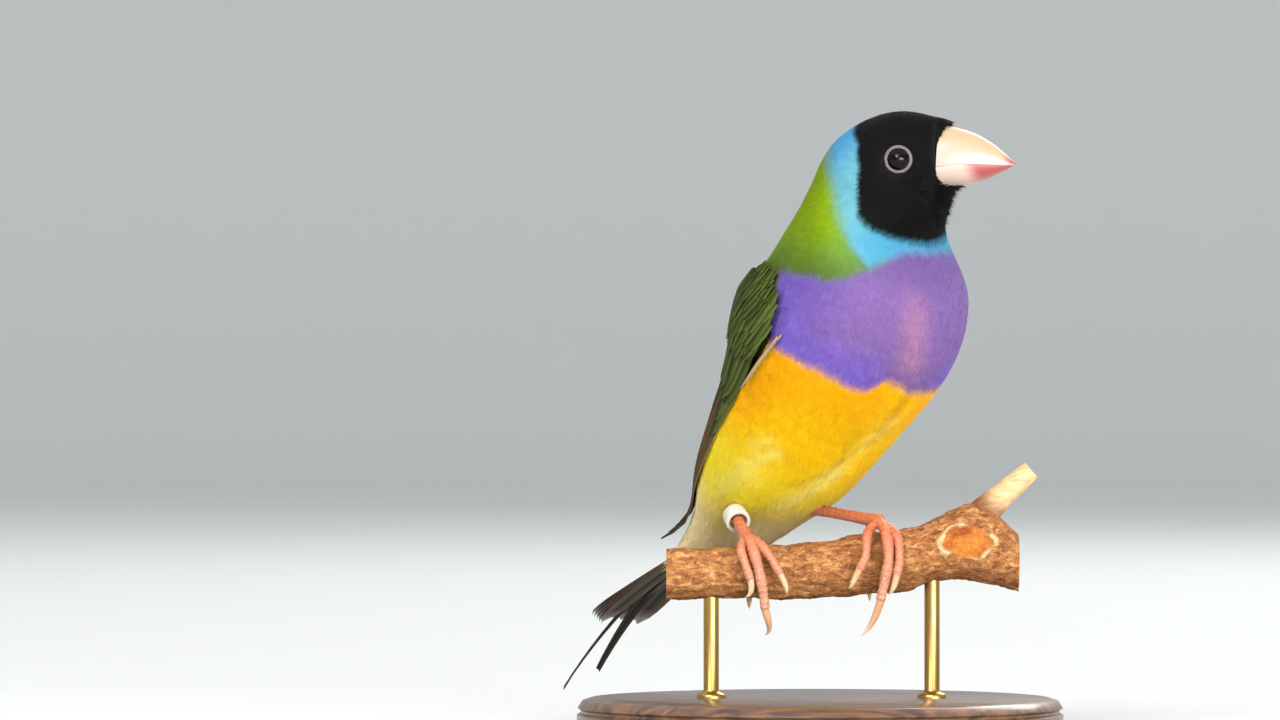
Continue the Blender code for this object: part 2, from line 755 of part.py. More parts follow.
def make_claw(leg, toe, end, points, thick, colour):
    """A curved claw that starts a gap past the end of its toe."""
    way = (points[0] - end).normalized()
    line = bend_through([end + way * GAP] + points, 5)
    widths = [thick * CLAW_SHARE * share for share in CLAW_STEPS]
    make_object(f"claw_{leg}_{toe}", tube(line, widths, CLAW_SIDES), colour)


def make_thigh(name, colour):
    """The feathered shank between the body and the ankle."""
    plan = LEGS[name]
    hip, ankle = mm(plan["hip"]), mm(plan["ankle"])
    knuckle = mm(plan["knuckle"])
    shin_way = knuckle - ankle
    line = [hip.lerp(ankle, min(share, 1)) + shin_way * max(0, share - 1) for share, _ in THIGH_STEPS]
    widths = [radius * MM for _, radius in THIGH_STEPS]
    thigh = make_object("thigh_" + name, tube(line, widths, THIGH_SIDES), colour)
    shin = make_object("shin_cutter", shin_shape(ankle, knuckle, GAP), colour)
    cut_away(thigh, [body_cutter(colour), shin])
    return thigh


def make_ring(colour):
    """The plain band round the right leg."""
    plan = LEGS["right"]
    ankle, knuckle = mm(plan["ankle"]), mm(plan["knuckle"])
    way = (knuckle - ankle).normalized()
    middle = ankle.lerp(knuckle, RING_PLACE)
    ends = [middle - way * RING_LENGTH / 2, middle + way * RING_LENGTH / 2]
    rings = [tube_ring(ends[0], way, radius, RING_SIDES) for radius in (RING_INNER, RING_OUTER)]
    rings += [tube_ring(ends[1], way, radius, RING_SIDES) for radius in (RING_OUTER, RING_INNER)]
    shape = loft(rings + rings[:1], open_ends=True)
    bmesh.ops.remove_doubles(shape, verts=shape.verts, dist=0.00001)
    make_object("leg_ring", shape, colour)


def perch_point(x, turn, lift=0.0):
    """A point on the bark, its turn measured from the top towards the front."""
    places = [station[0] * MM for station in PERCH_STATIONS]
    height = smooth_curve(places, [station[1] * MM for station in PERCH_STATIONS], x)
    radius = smooth_curve(places, [station[2] * MM for station in PERCH_STATIONS], x)
    spot = Vector((x * 180, math.sin(turn) * 1.3, math.cos(turn) * 1.3))
    radius += noise.noise(spot) * PERCH_ROUGH * 2 - PERCH_ROUGH + lift
    return Vector((x, -math.sin(turn) * radius, height + math.cos(turn) * radius))


def perch_shape(lift=0.0):
    """The cut branch."""
    first, last = PERCH_STATIONS[0][0] * MM, PERCH_STATIONS[-1][0] * MM
    rings = []
    for i in range(PERCH_RINGS):
        x = first + (last - first) * i / (PERCH_RINGS - 1)
        rings.append([perch_point(x, math.tau * k / PERCH_SIDES, lift) for k in range(PERCH_SIDES)])
    return loft(rings)


def make_stand(bark, wood, metal):
    """The cut branch on two short rods in a flat round base."""
    branch = make_object("perch", perch_shape(), bark)
    twig = tube([mm(point) for point in TWIG_POINTS], TWIG_RADII, TWIG_SIDES)
    fuse(branch, [make_object("twig", twig, bark)])
    shape = bmesh.new()
    bmesh.ops.create_cone(
        shape,
        cap_ends=True,
        segments=BASE_SIDES,
        radius1=BASE_RADIUS,
        radius2=BASE_RADIUS,
        depth=BASE_HEIGHT,
        matrix=Matrix.Translation((0, 0, BASE_HEIGHT / 2)),
    )
    rim = [edge for edge in shape.edges if all(vert.co.z > BASE_HEIGHT * 0.9 for vert in edge.verts)]
    bmesh.ops.bevel(shape, geom=rim, offset=BASE_BEVEL, segments=2, profile=0.5, affect="EDGES", material=-1)
    make_object("stand_base", shape, wood)
    for name, x in zip(("left", "right"), ROD_PLACES):
        low = BASE_HEIGHT + GAP
        high = perch_point(x, math.pi).z + ROD_INSIDE
        ends = [Vector((x, 0, low)), Vector((x, 0, high))]
        rod = make_object("stand_rod_" + name, tube(ends, [ROD_RADIUS] * 2, 16), metal)
        cut_away(rod, [make_object("perch_cut", perch_shape(GAP), bark)])


def main():
    """Builds every piece."""
    clear_scene()
    black = make_material("black_feathers", "#14110F", 0.7)
    blue = make_material("blue_feathers", "#4FA9EA", 0.7)
    purple = make_material("purple_feathers", "#8B6FCB", 0.7)
    yellow = make_material("yellow_feathers", "#FDBA10", 0.7)
    green = make_material("green_feathers", "#4C5F2B", 0.7)
    brown = make_material("tail_feathers", "#3B3028", 0.65)
    horn = make_material("bill_horn", "#FBEFE6", 0.35)
    eye = make_material("eye", "#1A1210", 0.05)
    skin = make_material("leg_skin", "#DC7F5C", 0.5)
    claw = make_material("claw_horn", "#F0C8A0", 0.4)
    band = make_material("band", "#F4F0EA", 0.35)
    bark = make_material("bark", "#B9804F", 0.85)
    wood = make_material("stand_wood", "#6B4A32", 0.45)
    metal = make_material("stand_brass", "#B08D57", 0.3, 1.0)
    make_torso(purple)
    make_neck(blue)
    make_head(black, eye)
    make_bill(horn)
    make_tail(brown)
    make_wing("right", 1, green)
    make_wing("left", -1, green)
    make_leg("right", skin, claw)
    make_leg("left", skin, claw)
    make_thigh("right", yellow)
    make_thigh("left", yellow)
    make_ring(band)
    make_stand(bark, wood, metal)


main()
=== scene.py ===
"""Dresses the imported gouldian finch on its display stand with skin, plumage and finishes."""

import math

import bmesh
import bpy
import numpy as np
from mathutils import Matrix, Vector, noise


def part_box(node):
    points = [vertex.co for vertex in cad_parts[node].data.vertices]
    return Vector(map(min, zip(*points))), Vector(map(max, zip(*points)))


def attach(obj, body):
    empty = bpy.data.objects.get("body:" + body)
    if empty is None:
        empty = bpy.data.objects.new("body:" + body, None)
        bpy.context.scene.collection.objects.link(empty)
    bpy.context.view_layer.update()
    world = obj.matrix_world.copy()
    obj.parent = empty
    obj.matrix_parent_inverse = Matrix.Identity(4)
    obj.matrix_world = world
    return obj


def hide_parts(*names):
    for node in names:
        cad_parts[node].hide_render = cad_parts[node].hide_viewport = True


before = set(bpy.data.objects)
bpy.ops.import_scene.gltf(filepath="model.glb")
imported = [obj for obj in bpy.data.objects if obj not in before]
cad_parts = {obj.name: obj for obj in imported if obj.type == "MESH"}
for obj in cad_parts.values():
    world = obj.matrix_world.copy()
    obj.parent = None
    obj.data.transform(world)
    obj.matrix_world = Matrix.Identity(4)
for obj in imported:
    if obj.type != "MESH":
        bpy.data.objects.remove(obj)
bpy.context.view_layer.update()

bl_info = {
    "name": "Gouldian finch",
    "version": (1, 0, 0),
    "blender": (4, 5, 0),
    "location": "3D View > Sidebar > Finch",
    "description": "Dresses a life-size perched finch on a display stand",
    "category": "Object",
}

MM = 0.001
# The coat's regions draw from this seed on, and the others from so far past it.
SEED = 11
HEM_SEED, WING_SEED, TAIL_SEED = 30, 40, 60
FULL_TURN = math.tau

# The body's stations along its spine: centre in mm, heading and pitch in degrees, half width, depth to
# the back and depth to the belly in mm, as the solids have them.
STATIONS = (
    ("over_tail", -21.6, 30.6, 24.4, 40, 25, 6.2, 4.6, 3.4),
    ("tail_root", -14.9, 22.6, 30.0, 40, 30, 6.4, 5.2, 4.7),
    ("vent", -10.3, 16.0, 36.1, 40, 38, 9.9, 8.6, 7.3),
    ("belly", -5.2, 8.2, 44.0, 40, 45, 12.7, 11.2, 11.2),
    ("low_breast", -0.4, 1.7, 51.8, 40, 53, 14.8, 13.5, 13.3),
    ("breast", 4.2, -5.2, 63.3, 41, 62, 17.2, 15.1, 17.7),
    ("shoulders", 7.0, -8.9, 71.4, 43, 68, 16.3, 13.1, 16.4),
    ("neck_base", 8.0, -10.4, 77.4, 47, 75, 13.5, 11.8, 10.8),
    ("throat", 8.9, -11.5, 82.3, 56, 74, 10.3, 11.0, 10.6),
    ("nape", 10.4, -12.3, 86.1, 66, 62, 9.0, 10.3, 10.4),
    ("crown", 12.3, -12.8, 88.4, 72, 42, 8.1, 8.6, 8.4),
    ("forehead", 14.9, -13.5, 89.3, 75, 20, 7.0, 7.4, 6.7),
    ("face", 18.3, -14.4, 89.2, 75, 0, 4.9, 5.9, 4.9),
)
STATION_NAMES = [station[0] for station in STATIONS]
STATION_VALUES = np.array([station[1:] for station in STATIONS], float)
STATION_STEPS = np.linalg.norm(np.diff(STATION_VALUES[:, :3], axis=0), axis=1)
STATION_AT = np.concatenate([[0.0], np.cumsum(STATION_STEPS)])

# Where the coat stands off the loft: place along the spine in mm, turn in degrees, how far it spreads
# along and round, and how high it stands in mm.
SWELLS = (
    (91.6, 180, 2.6, 42, 1.3),
    (86.0, 118, 4.0, 30, 0.35),
    (86.0, -118, 4.0, 30, 0.35),
    (47.0, 178, 9.0, 8, -0.8),
    (62.0, 172, 5.0, 7, -0.3),
    (31.0, 128, 5.0, 24, 0.6),
    (31.0, -128, 5.0, 24, 0.6),
)

# How much slimmer the coat is than the loft over the root of the tail: below and above, in mm.
TAIL_SLIM = (2.2, 2.6)

# The lines between the colours, measured in the photograph: degrees round from the middle of the back
# against mm along the spine.
MASK_EDGE = (
    (0, 28, 58, 79, 90, 112, 129, 148, 166, 180),
    (86.9, 86.7, 86.3, 84.7, 82.8, 78.6, 77.3, 76.6, 76.2, 76.0),
)
COLLAR_EDGE = (
    (0, 30, 63.5, 84.5, 108.5, 121.5, 129, 138, 148, 158.5)
    + (175, 200, 222, 231, 239, 251, 276, 297, 330, 360),
    (84.6, 84.3, 82.5, 80, 77, 75.3, 73.9, 72.7, 73.7, 74.6)
    + (75, 75, 74.7, 74.7, 75.5, 77, 80, 82.5, 84.3, 84.6),
)
BREAST_TOP = (
    (80, 84, 101, 114, 132, 147, 160, 180, 200, 216, 230, 245, 262, 280),
    (68.0, 68.3, 69.4, 69.8, 71.7, 73.3, 75.4, 75.8, 75.7, 75.4, 74.6, 72.6, 70.0, 68.0),
)
BREAST_FOOT = (
    (100, 125, 142, 155, 159, 163, 172, 180, 202, 235, 260),
    (57.3, 57.3, 56.6, 56.4, 57.5, 58.6, 58.0, 57.2, 56.4, 56.9, 57.3),
)
# The flank's line between back and belly, under the wing: mm along the spine against degrees.
FLANK_EDGE = (
    (12, 20, 34, 41, 45, 50, 54, 59.5, 62.5, 66.7, 68.3),
    (40, 44, 50, 58, 62, 72, 82, 91, 90, 84, 78),
)
# Where the colours of the plumage fade in: mm along the spine, or degrees from the middle of the back
# where the name ends in turn. Those of the lime and the collar count from the collar's edge.
FADES = {
    "neck": (66, 79),
    "lime": (-5.5, -1.0),
    "lime_turn": (30, 80),
    "neck_side": (60, 70),
    "neck_side_turn": (92, 138),
    "mantle": (48, 62),
    "mantle_top": (68, 75),
    "mantle_turn": (50, 72),
    "rump": (24, 34),
    "lilac_turn": (94, 140),
    "low_violet": (57, 65),
    "low_violet_turn": (150, 172),
    "highlight_foot": (58, 62),
    "highlight_top": (67, 73),
    "upper_breast": (68, 74),
    "yellow": (30, 43),
    "gold": (45, 57),
    # Where the deep gold reaches lower on the flanks, it is partly painted shade.
    "flank_shade_turn": (88, 130),
    "gold_middle_turn": (160, 178),
    "vent": (15, 28),
    "vent_turn": (128, 158),
    "cheek_turn": (35, 80),
    "throat_turn": (105, 145),
    "collar_side_turn": (95, 140),
}
# The painted highlight, a pale pink streak of light beside the breast's furrow: its turn in degrees at a
# place in mm, how far it turns with each mm, and its half width in degrees.
HIGHLIGHT_TURN, HIGHLIGHT_AT, HIGHLIGHT_SLANT, HIGHLIGHT_HALF = 172, 62, 0.8, 9.0

# Painted highlights, pale streaks of light on the belly's loose feathers, and the painted shade of the fold
# beside
# them: both ends as mm along the spine and degrees round, the streak's half width in mm, and its strength.
HIGHLIGHT_SWOOPS = (
    ((31.4, 157), (40.4, 176), 1.5, 0.75),
    ((40.4, 176), (51.4, 187), 1.1, 0.3),
    ((34.5, 112), (40.5, 128), 1.0, 0.6),
    ((38.8, 110), (42.4, 121), 0.8, 0.4),
    ((27.0, 104), (34.5, 118), 2.0, 0.5),
)
# Painted shade: the darker streak of the fold beside the pale streaks.
FOLD_SHADE = (
    ((36.0, 149), (39.7, 167), 0.5, 0.4),
    ((39.7, 167), (46.8, 185), 0.6, 0.6),
    ((46.8, 185), (56.0, 182), 0.8, 0.6),
)
# About how many mm one degree round the belly takes up.
BELLY_GIRTH_STEP = 0.2

# The skin lies below the coat: mm along the spine against its depth in mm, and how much deeper it is
# under the folded wings.
SKIN_DEPTH = ((0, 60, 80, 88, 93.8), (1.2, 1.2, 0.8, 0.5, 0.3))
WING_BED = 1.5
# Feather length along the spine in mm, and how high the loosest tips stand off.
COAT_LENGTH = ((0, 12, 34, 60, 72, 80, 86, 90, 93.8), (6.5, 5.6, 4.8, 3.8, 3.1, 2.4, 1.8, 1.3, 0.9))
COAT_LOOSE = ((10, 30, 45, 84, 93), (0.4, 0.28, 0.1, 0.06, 0.03))
# Regions of the coat: name, first and last place on the spine, and barbs on a feather as a share.
COAT_REGIONS = (
    ("coat_face", 87.2, 93.8, 0.45),
    ("coat_crown", 80.0, 87.2, 0.6),
    ("coat_collar", 72.0, 80.0, 1.3),
    ("coat_breast", 64.5, 72.0, 2.0),
    ("coat_breast_low", 56.0, 64.5, 2.2),
    ("coat_belly", 45.0, 56.0, 2.4),
    ("coat_belly_low", 33.0, 45.0, 2.4),
    ("coat_vent", 20.0, 33.0, 2.4),
    ("coat_rump", 6.0, 20.0, 1.8),
)
# How the coat's feathers are laid: their half width and the room that each takes up across, as shares
# of their length and width, how unevenly they lie and how their lengths and widths vary as shares, how
# far they turn aside, how deep under the wing they end, and how short one over an eye is cut.
COAT_HALF = 0.3
COAT_ROOM = 1.15
COAT_FEWEST = 12
COAT_UNEVEN = 0.3
COAT_LENGTHS = (0.85, 1.15)
COAT_WIDTHS = (0.9, 1.1)
COAT_TURN = 0.08
UNDER_WING = 0.75
CUT_SHORT = 0.3
# The last place on the spine that a feather's tip reaches, in mm.
COAT_END = 0.3
# The least share of the spine's length that a steep part of the coat takes up, and the step in mm over
# which it is read.
STEEPEST = 0.45
STEEP_STEP = 0.2
# How the barbs lie on a feather: across it, their starts and lengths along it, and their thickness in
# mm at no width and for each mm of the feather's half width.
BARB_ACROSS = 0.95
BARB_STARTS = (0.35, 0.86)
BARB_LENGTHS = (0.32, 0.44)
BARB_THICK = (0.022, 0.012)
# A vane's thickness, how far it lies below its loose barbs, and a barb's height over the coat, in mm.
COAT_VANE_THICK = 0.06
VANE_BELOW_BARBS = 0.09
BARB_LIFT = 0.03
# How far the loose barbs of the coat reach past a feather's tip, as a share of its length.
BARB_BEYOND = 0.25
# The steps, in mm along and radians round, over which a surface's slope is read.
FACING_STEP = 0.05
FACING_TURN = 0.02
# The barbs' slant on a vane, and how wide a bake patch of a feather is on the body's unwrap.
BARB_SLANT = 1.1
PATCH = 0.003

# Feathers that hem the bill, under and over it: the first and the last row's root and tip as distance
# ahead of the face and off its middle, the middle and the spread of their turn, how many lie in a row
# and in how many rows, how the hem bends onto the face, and how far its ends sink.
BILL_HEMS = (
    ("chin", ((-0.7, 4.6), (3.9, 4.75), (-3.0, 10.6), (0.5, 11.3)), 180, 66, 31, 22, 0.5, 0.35),
    ("forehead", ((-0.9, 5.2), (1.9, 5.3), (-3.4, 6.7), (0.5, 5.9)), 0, 80, 35, 13, 1.0, 0.2),
)
HEM_BARBS = 9
HEM_HALF = 0.34
HEM_AT = 92.5

BILL_LENGTH = 11.7
BILL_PITCH = -1.5
MOUTH_BELOW_FACE = 1.1
MOUTH_GAP = 0.025
LOWER_BILL_SHORTER = 0.5
# The bill from its base to its tip: share of its length, height above and depth below the mouth line
# and half width, in mm.
BILL_STEPS = (
    (0.0, 6.0, 3.9, 4.3),
    (0.14, 5.75, 3.6, 3.95),
    (0.32, 5.25, 3.3, 3.35),
    (0.5, 4.45, 2.75, 2.7),
    (0.68, 3.25, 2.0, 1.95),
    (0.84, 1.8, 1.1, 1.15),
    (1.0, 0.2, 0.15, 0.2),
)
# The nostrils' distance ahead of the face and above its middle.
NOSTRIL_PLACE = (1.0, 3.3)
EYE_RADIUS = 2.2
CORNEA_RISE = 0.16
# Where the pupil turns to iris and the iris to the eye's dark rim, in mm off its axis.
PUPIL_EDGE = (0.95, 1.15)
IRIS_EDGE = (1.45, 1.7)
LID_RADIUS = 1.93
LID_HALF = 0.27
LID_OUT = 1.3

WRIST_ABOVE_BREAST = 6.0
# The folded wing's upper and lower edge: mm behind the wrist against degrees from the spine.
WING_EDGES = (
    (-2.5, 0.5, 5, 11, 18, 25, 30, 37, 45),
    (62, 45, 34, 27, 24, 24, 28, 30, 32),
    (80, 94, 100, 94, 85, 76, 70, 63, 58),
)
# How far inside and outside the wing's lower edge its bed in the body ends, in degrees.
COVER_EDGE = (4, 10)
# The flank's feathers bank up beside the wing's edge: how far outside it and how wide, in degrees, and
# how high in mm.
BANK_TURN = 4
BANK_SPREAD = 6
BANK_HEIGHT = 0.7
# Rows of small coverts, in mm behind the wrist.
COVERT_ROWS = (8.6, 7.2, 5.8, 4.4, 3.0, 1.7, 0.4, -0.8, -1.8)
# They reach this far inside the wing's upper edge and its lower one in degrees, about this many degrees
# apart, with these lengths and half widths in mm, and stray by this many degrees and mm.
COVERT_EDGES = (1.5, -2.0)
COVERT_APART = 4.0
COVERT_LENGTHS = (4.6, 7.4)
COVERT_HALVES = (0.85, 1.15)
COVERT_STRAY_TURN = 2.0
COVERT_STRAY = 0.7
WING_VANE_THICK = 0.14
SHAFT_HEIGHT = 0.09
TAIL_VANE_THICK = 0.16
SHAFT_HEIGHT_TAIL = 0.1
# How far off its middle a vane's column still counts as the shaft, as a share of its half width.
ON_SHAFT = 0.03
# How far a tier's last feather lies below its first, in mm.
TIER_STEP = 0.48
# The coverts' height over the body, against mm behind the wrist.
COVERT_LIFT = ((-2, 2, 9), (0.9, 1.5, 1.55))
# The wing darkens from the first to the second place behind the wrist, by these shares of its colour.
WING_SHADE_REACH = (3, 22)
WING_SHADE = (0.5, 0.6, 0.72)
# The wrist's place on the unwrap's length, in mm along the spine.
UNWRAP_WRIST = 70
# Tiers of wing feathers: name, count, first root and tip, last root and tip as (mm behind the wrist,
# degrees from the spine), half width, lift at root and tip in mm, and how pointed they are.
WING_TIERS = (
    ("primary", 9, ((22, 60), (47, 37)), ((14, 80), (62.5, 47)), 2.0, 0.75, 1.15, 0.35),
    ("secondary", 8, ((20, 40), (39, 29)), ((20, 66), (47, 46)), 2.3, 1.0, 1.25, 0.1),
    ("tertial", 4, ((15, 28), (27, 17)), ((18, 42), (41, 28)), 3.0, 1.25, 1.4, 0.1),
    ("primary_covert", 7, ((9, 75), (23, 69)), ((7, 88), (33, 71)), 1.7, 1.15, 1.2, 0.15),
    ("greater_covert", 14, ((10, 28), (21, 22)), ((9, 88), (24, 75)), 1.9, 1.35, 1.55, 0.1),
    ("edge", 2, ((5.9, 103), (18.2, 90)), ((5.4, 104), (17.4, 91.5)), 0.34, 1.35, 1.6, 0.1),
)

# The branch from left to right: X, the middle's height and the radius in mm.
PERCH_STATIONS = (
    (-24.0, 24.3, 4.3),
    (-14.0, 24.6, 4.2),
    (-5.5, 24.7, 4.5),
    (2.0, 25.2, 4.7),
    (8.0, 26.0, 5.1),
    (13.0, 26.6, 5.2),
    (18.0, 28.0, 5.2),
    (23.0, 29.4, 6.1),
    (27.0, 28.4, 5.9),
    (31.0, 26.0, 4.6),
)
TWIG_POINTS = ((22.5, 0.5, 31.0), (28.4, 0.0, 36.6), (33.0, -0.4, 40.6))
TWIG_RADII = (3.0, 2.0, 1.6)
# The scar of a lost twig on the front of the branch: its middle's X and Z, half its length and height.
SCAR = (22.75, 29.5, 3.8, 2.6)
PERCH_ROUGH = 0.22
BARK_GIRTH = 4.6
PITH_HEIGHT = 26.2 * MM
BASE_RADIUS = 38.0
BASE_HEIGHT = 5.0
ROD_RADIUS = 1.2
ROD_PLACES = (-17.0, 17.5)
ROD_IN_PERCH = 0.6
BASE_PROFILE = (
    (0.0, 0.0),
    (36.6, 0.0),
    (BASE_RADIUS, 1.2),
    (BASE_RADIUS, 2.4),
    (37.4, 2.8),
    (37.4, 3.1),
    (37.9, 3.5),
    (37.2, 4.6),
    (36.0, BASE_HEIGHT),
    (0.0, BASE_HEIGHT),
)
FOOT_PROFILE = (
    (0.0, BASE_HEIGHT),
    (2.3, BASE_HEIGHT),
    (2.3, 5.35),
    (2.05, 5.7),
    (1.5, 5.85),
    (ROD_RADIUS, 6.3),
)
FLOOR_PROFILE = ((0, 0), (2400, 0), (2700, 60), (2900, 240), (3000, 560), (3000, 2600))

# Tail feathers, in mm: the length of the middle ones, how much shorter each pair is than the one inside
# it, how far behind the tail's root they start, and their half width. The pins are the middle pair.
TAIL_LENGTH = 35.0
TAIL_STEP = 1.1
TAIL_START = 4.0
TAIL_HALF = 2.3
PIN_HALF = 1.3
PIN_LENGTH = 46.0
PIN_DROOP = 9.0
# One of the two middle pins is shorter than the other by this much.
PIN_WEAR = 8
# How far the pairs lie apart at the root, how much further at the tip, and how much lower each lies.
TAIL_ROOTS_APART = 0.3
TAIL_SPREAD = 0.32
TAIL_LAYER = 0.32
TAIL_PITCH = 23.0

LEGS = {
    "right": {
        "ankle": (-14.3, 7.9, 35.6),
        "knuckle": (-11.6, -2.2, 30.2),
        "toes": {
            "middle": ((-10.9, -4.4, 29.3), (-9.6, -5.9, 25.0), (-8.9, -5.4, 21.2), (-8.6, -4.8, 18.8)),
            "inner": ((-12.4, -4.6, 28.4), (-11.6, -5.9, 25.6), (-10.9, -5.9, 23.5)),
            "outer": ((-9.6, -4.4, 29.3), (-7.6, -5.9, 26.7), (-6.2, -6.0, 24.3)),
            "hind": ((-11.3, 1.2, 30.4), (-11.1, 4.4, 29.0), (-11.0, 6.0, 25.7), (-11.0, 5.8, 22.9)),
        },
        "claws": {
            "middle": ((-8.1, -4.1, 17.0), (-8.0, -3.0, 15.7), (-8.6, -2.0, 14.8)),
            "inner": ((-10.8, -5.9, 22.2), (-11.1, -5.5, 21.3), (-11.7, -4.9, 20.8)),
            "outer": ((-5.6, -6.0, 23.0), (-5.3, -5.7, 22.0), (-5.3, -5.1, 21.3)),
            "hind": ((-11.0, 5.2, 21.2), (-11.0, 4.2, 19.7), (-11.0, 2.8, 18.8)),
        },
    },
    "left": {
        "ankle": (-1.2, 8.2, 34.4),
        "knuckle": (8.9, -2.7, 32.7),
        "toes": {
            "middle": ((10.1, -5.3, 31.0), (10.5, -7.0, 27.0), (9.9, -6.9, 23.5), (9.2, -6.2, 20.0)),
            "inner": ((7.3, -5.4, 30.8), (6.9, -6.8, 27.2), (5.8, -6.9, 24.9)),
            "outer": ((11.7, -5.4, 30.6), (12.2, -7.0, 26.8), (11.7, -7.1, 24.1)),
            "hind": ((8.6, 0.8, 33.0), (8.1, 5.1, 31.4), (7.9, 7.1, 27.6), (7.9, 7.0, 24.5)),
        },
        "claws": {
            "middle": ((8.5, -5.4, 18.0), (7.5, -4.8, 16.1), (6.2, -4.1, 14.7)),
            "inner": ((5.2, -6.8, 23.7), (4.8, -6.4, 22.8), (4.3, -5.8, 22.2)),
            "outer": ((11.4, -7.0, 22.8), (11.0, -6.6, 21.9), (10.5, -6.1, 21.3)),
            "hind": ((7.9, 6.4, 22.7), (7.9, 5.4, 21.1), (7.9, 4.0, 20.0)),
        },
    },
}
TARSUS_RADIUS = 1.0
TOE_RADII = {"middle": 0.95, "inner": 0.82, "outer": 0.82, "hind": 0.95}
CLAW_SHARE = 0.62
# How thick the shin and a claw are along their length, as shares.
SHIN_SIZES = ((0, 0.25, 0.5, 0.75, 1), (1.1, 0.9, 0.86, 0.95, 1.15))
CLAW_SIZES = ((0, 0.3, 0.6, 0.85, 1), (1.08, 1.0, 0.74, 0.42, 0.06))
# The leg ring's radii, length and rounding in mm, and its place down the shin as a share.
RING_INNER, RING_OUTER, RING_LENGTH, RING_BEVEL, RING_PLACE = 1.4, 1.95, 2.6, 0.14, 0.48

# The toes swell at their joints by this share of their width, this often along each.
TOE_SWELL = 0.07
MIDDLE_SWELLINGS = 3
TOE_SWELLINGS = 2.2
# Heights in metres between which the dust on the toes grows from none to its full share.
DUST_TOP = 31 * MM
DUST_FOOT = 19 * MM
# How deep a claw's root lies in its toe, and how far behind its tip it turns dark, in mm.
CLAW_ROOT = 0.4
CLAW_CLEAR = (0.5, 3.5)

# How finely the smooth shapes are divided, along their length and round it.
SKIN_RINGS, SKIN_SIDES = 110, 84
BILL_RINGS, BILL_ARCH = 34, 29
EYE_RINGS, EYE_SIDES, LID_SIDES = 32, 48, 12
SHIN_RINGS, SHIN_SIDES = 60, 24
TOE_RINGS, TOE_SIDES = 72, 22
CLAW_RINGS, CLAW_SIDES = 26, 16
BARK_RINGS, BARK_SIDES = 170, 110
TWIG_RINGS, TWIG_SIDES = 60, 28
BAND_SIDES, BASE_SIDES, ROD_SIDES = 64, 160, 48

CAMERA_PLACE = (-28.125 * MM, -1.3, 57.8 * MM)
CAMERA_LENS = 234.0
CAMERA_SENSOR = 36.0
LOOK_AT = (0, 0, 0.055)
# Studio lights: name, place in metres, width, power in watts and colour.
LIGHTS = (
    ("key", (-0.45, -0.95, 0.9), 0.8, 15.5, (1.0, 0.97, 0.92)),
    ("fill", (0.5, -1.1, 0.05), 1.0, 35, (0.98, 0.98, 1.0)),
    ("back", (0.5, 1.0, 0.9), 0.7, 9, (1.0, 0.98, 0.95)),
)
SKY = (0.93, 0.96, 1.0)

# Sockets that share their names on their nodes: Map Range's value and ranges, then the colour Mix's
# factor, colours and result.
VALUE, FROM_LOW, FROM_HIGH, TO_LOW, TO_HIGH = range(5)
SHARE, FIRST, SECOND = 0, 6, 7
MIXED = 2


def linear(code):
    """An sRGB hex colour as linear red, green and blue."""
    channels = [int(code[i : i + 2], 16) / 255 for i in (1, 3, 5)]
    return tuple(c / 12.92 if c <= 0.04045 else ((c + 0.055) / 1.055) ** 2.4 for c in channels)


def soft(low, high, value):
    """0 below low, 1 above high, and a smooth step between them."""
    share = np.clip((value - low) / (high - low), 0, 1)
    return share * share * (3 - 2 * share)


def smooth_curve(places, values, at):
    """Reads a smooth curve through values that stand at rising places."""
    places, values, at = (np.asarray(item, float) for item in (places, values, at))
    flat = values.ndim == 1
    if flat:
        values = values[:, None]
    steps = np.arange(len(places))
    before, after = np.maximum(steps - 1, 0), np.minimum(steps + 1, len(places) - 1)
    slope = (values[after] - values[before]) / (places[after] - places[before])[:, None]
    low = np.searchsorted(places[1:-1], at, side="right")
    width = (places[low + 1] - places[low])[..., None]
    share = (at - places[low])[..., None] / width
    rise = values[low + 1] - values[low]
    bend = slope[low] * width * share * (1 - share) ** 2 - slope[low + 1] * width * share**2 * (1 - share)
    made = values[low] + rise * share * share * (3 - 2 * share) + bend
    return made[..., 0] if flat else made


def along(name):
    """How far along the spine a station stands, in mm."""
    return STATION_AT[STATION_NAMES.index(name)]

def unit(way):
    """A direction, or each of many, made one long."""
    return way / np.linalg.norm(way, axis=-1, keepdims=True)


def from_back(angle):
    """How far angles lie from the middle of the back, in degrees from 0 to 180."""
    return np.abs(np.degrees((angle + math.pi) % FULL_TURN - math.pi))


def body_frame(at):
    """The loft's centre, its directions right, to the back and ahead, and its half sizes, in mm."""
    row = smooth_curve(STATION_AT, STATION_VALUES, at)
    turn, rise = np.radians(row[..., 3]), np.radians(row[..., 4])
    right = np.stack([-np.cos(turn), -np.sin(turn), 0 * turn], -1)
    ahead = np.stack([np.cos(rise) * np.sin(turn), -np.cos(rise) * np.cos(turn), np.sin(rise)], -1)
    return row[..., :3], right, np.cross(right, ahead), ahead, row[..., 5], row[..., 6], row[..., 7]


def swell(at, angle):
    """How far the coat stands off the plain loft, in mm."""
    turn = np.degrees(angle)
    total = 0.0 * (at + angle)
    for place, middle, far, wide, high in SWELLS:
        off = (turn - middle + 180) % 360 - 180
        total = total + high * np.exp(-(((at - place) / far) ** 2) - (off / wide) ** 2)
    beside = (from_back(angle) - wing_foot(at) - BANK_TURN) / BANK_SPREAD
    bank = soft(along("tail_root"), along("belly"), at) * (1 - soft(along("breast"), along("shoulders"), at))
    return total + BANK_HEIGHT * bank * np.exp(-(beside**2))


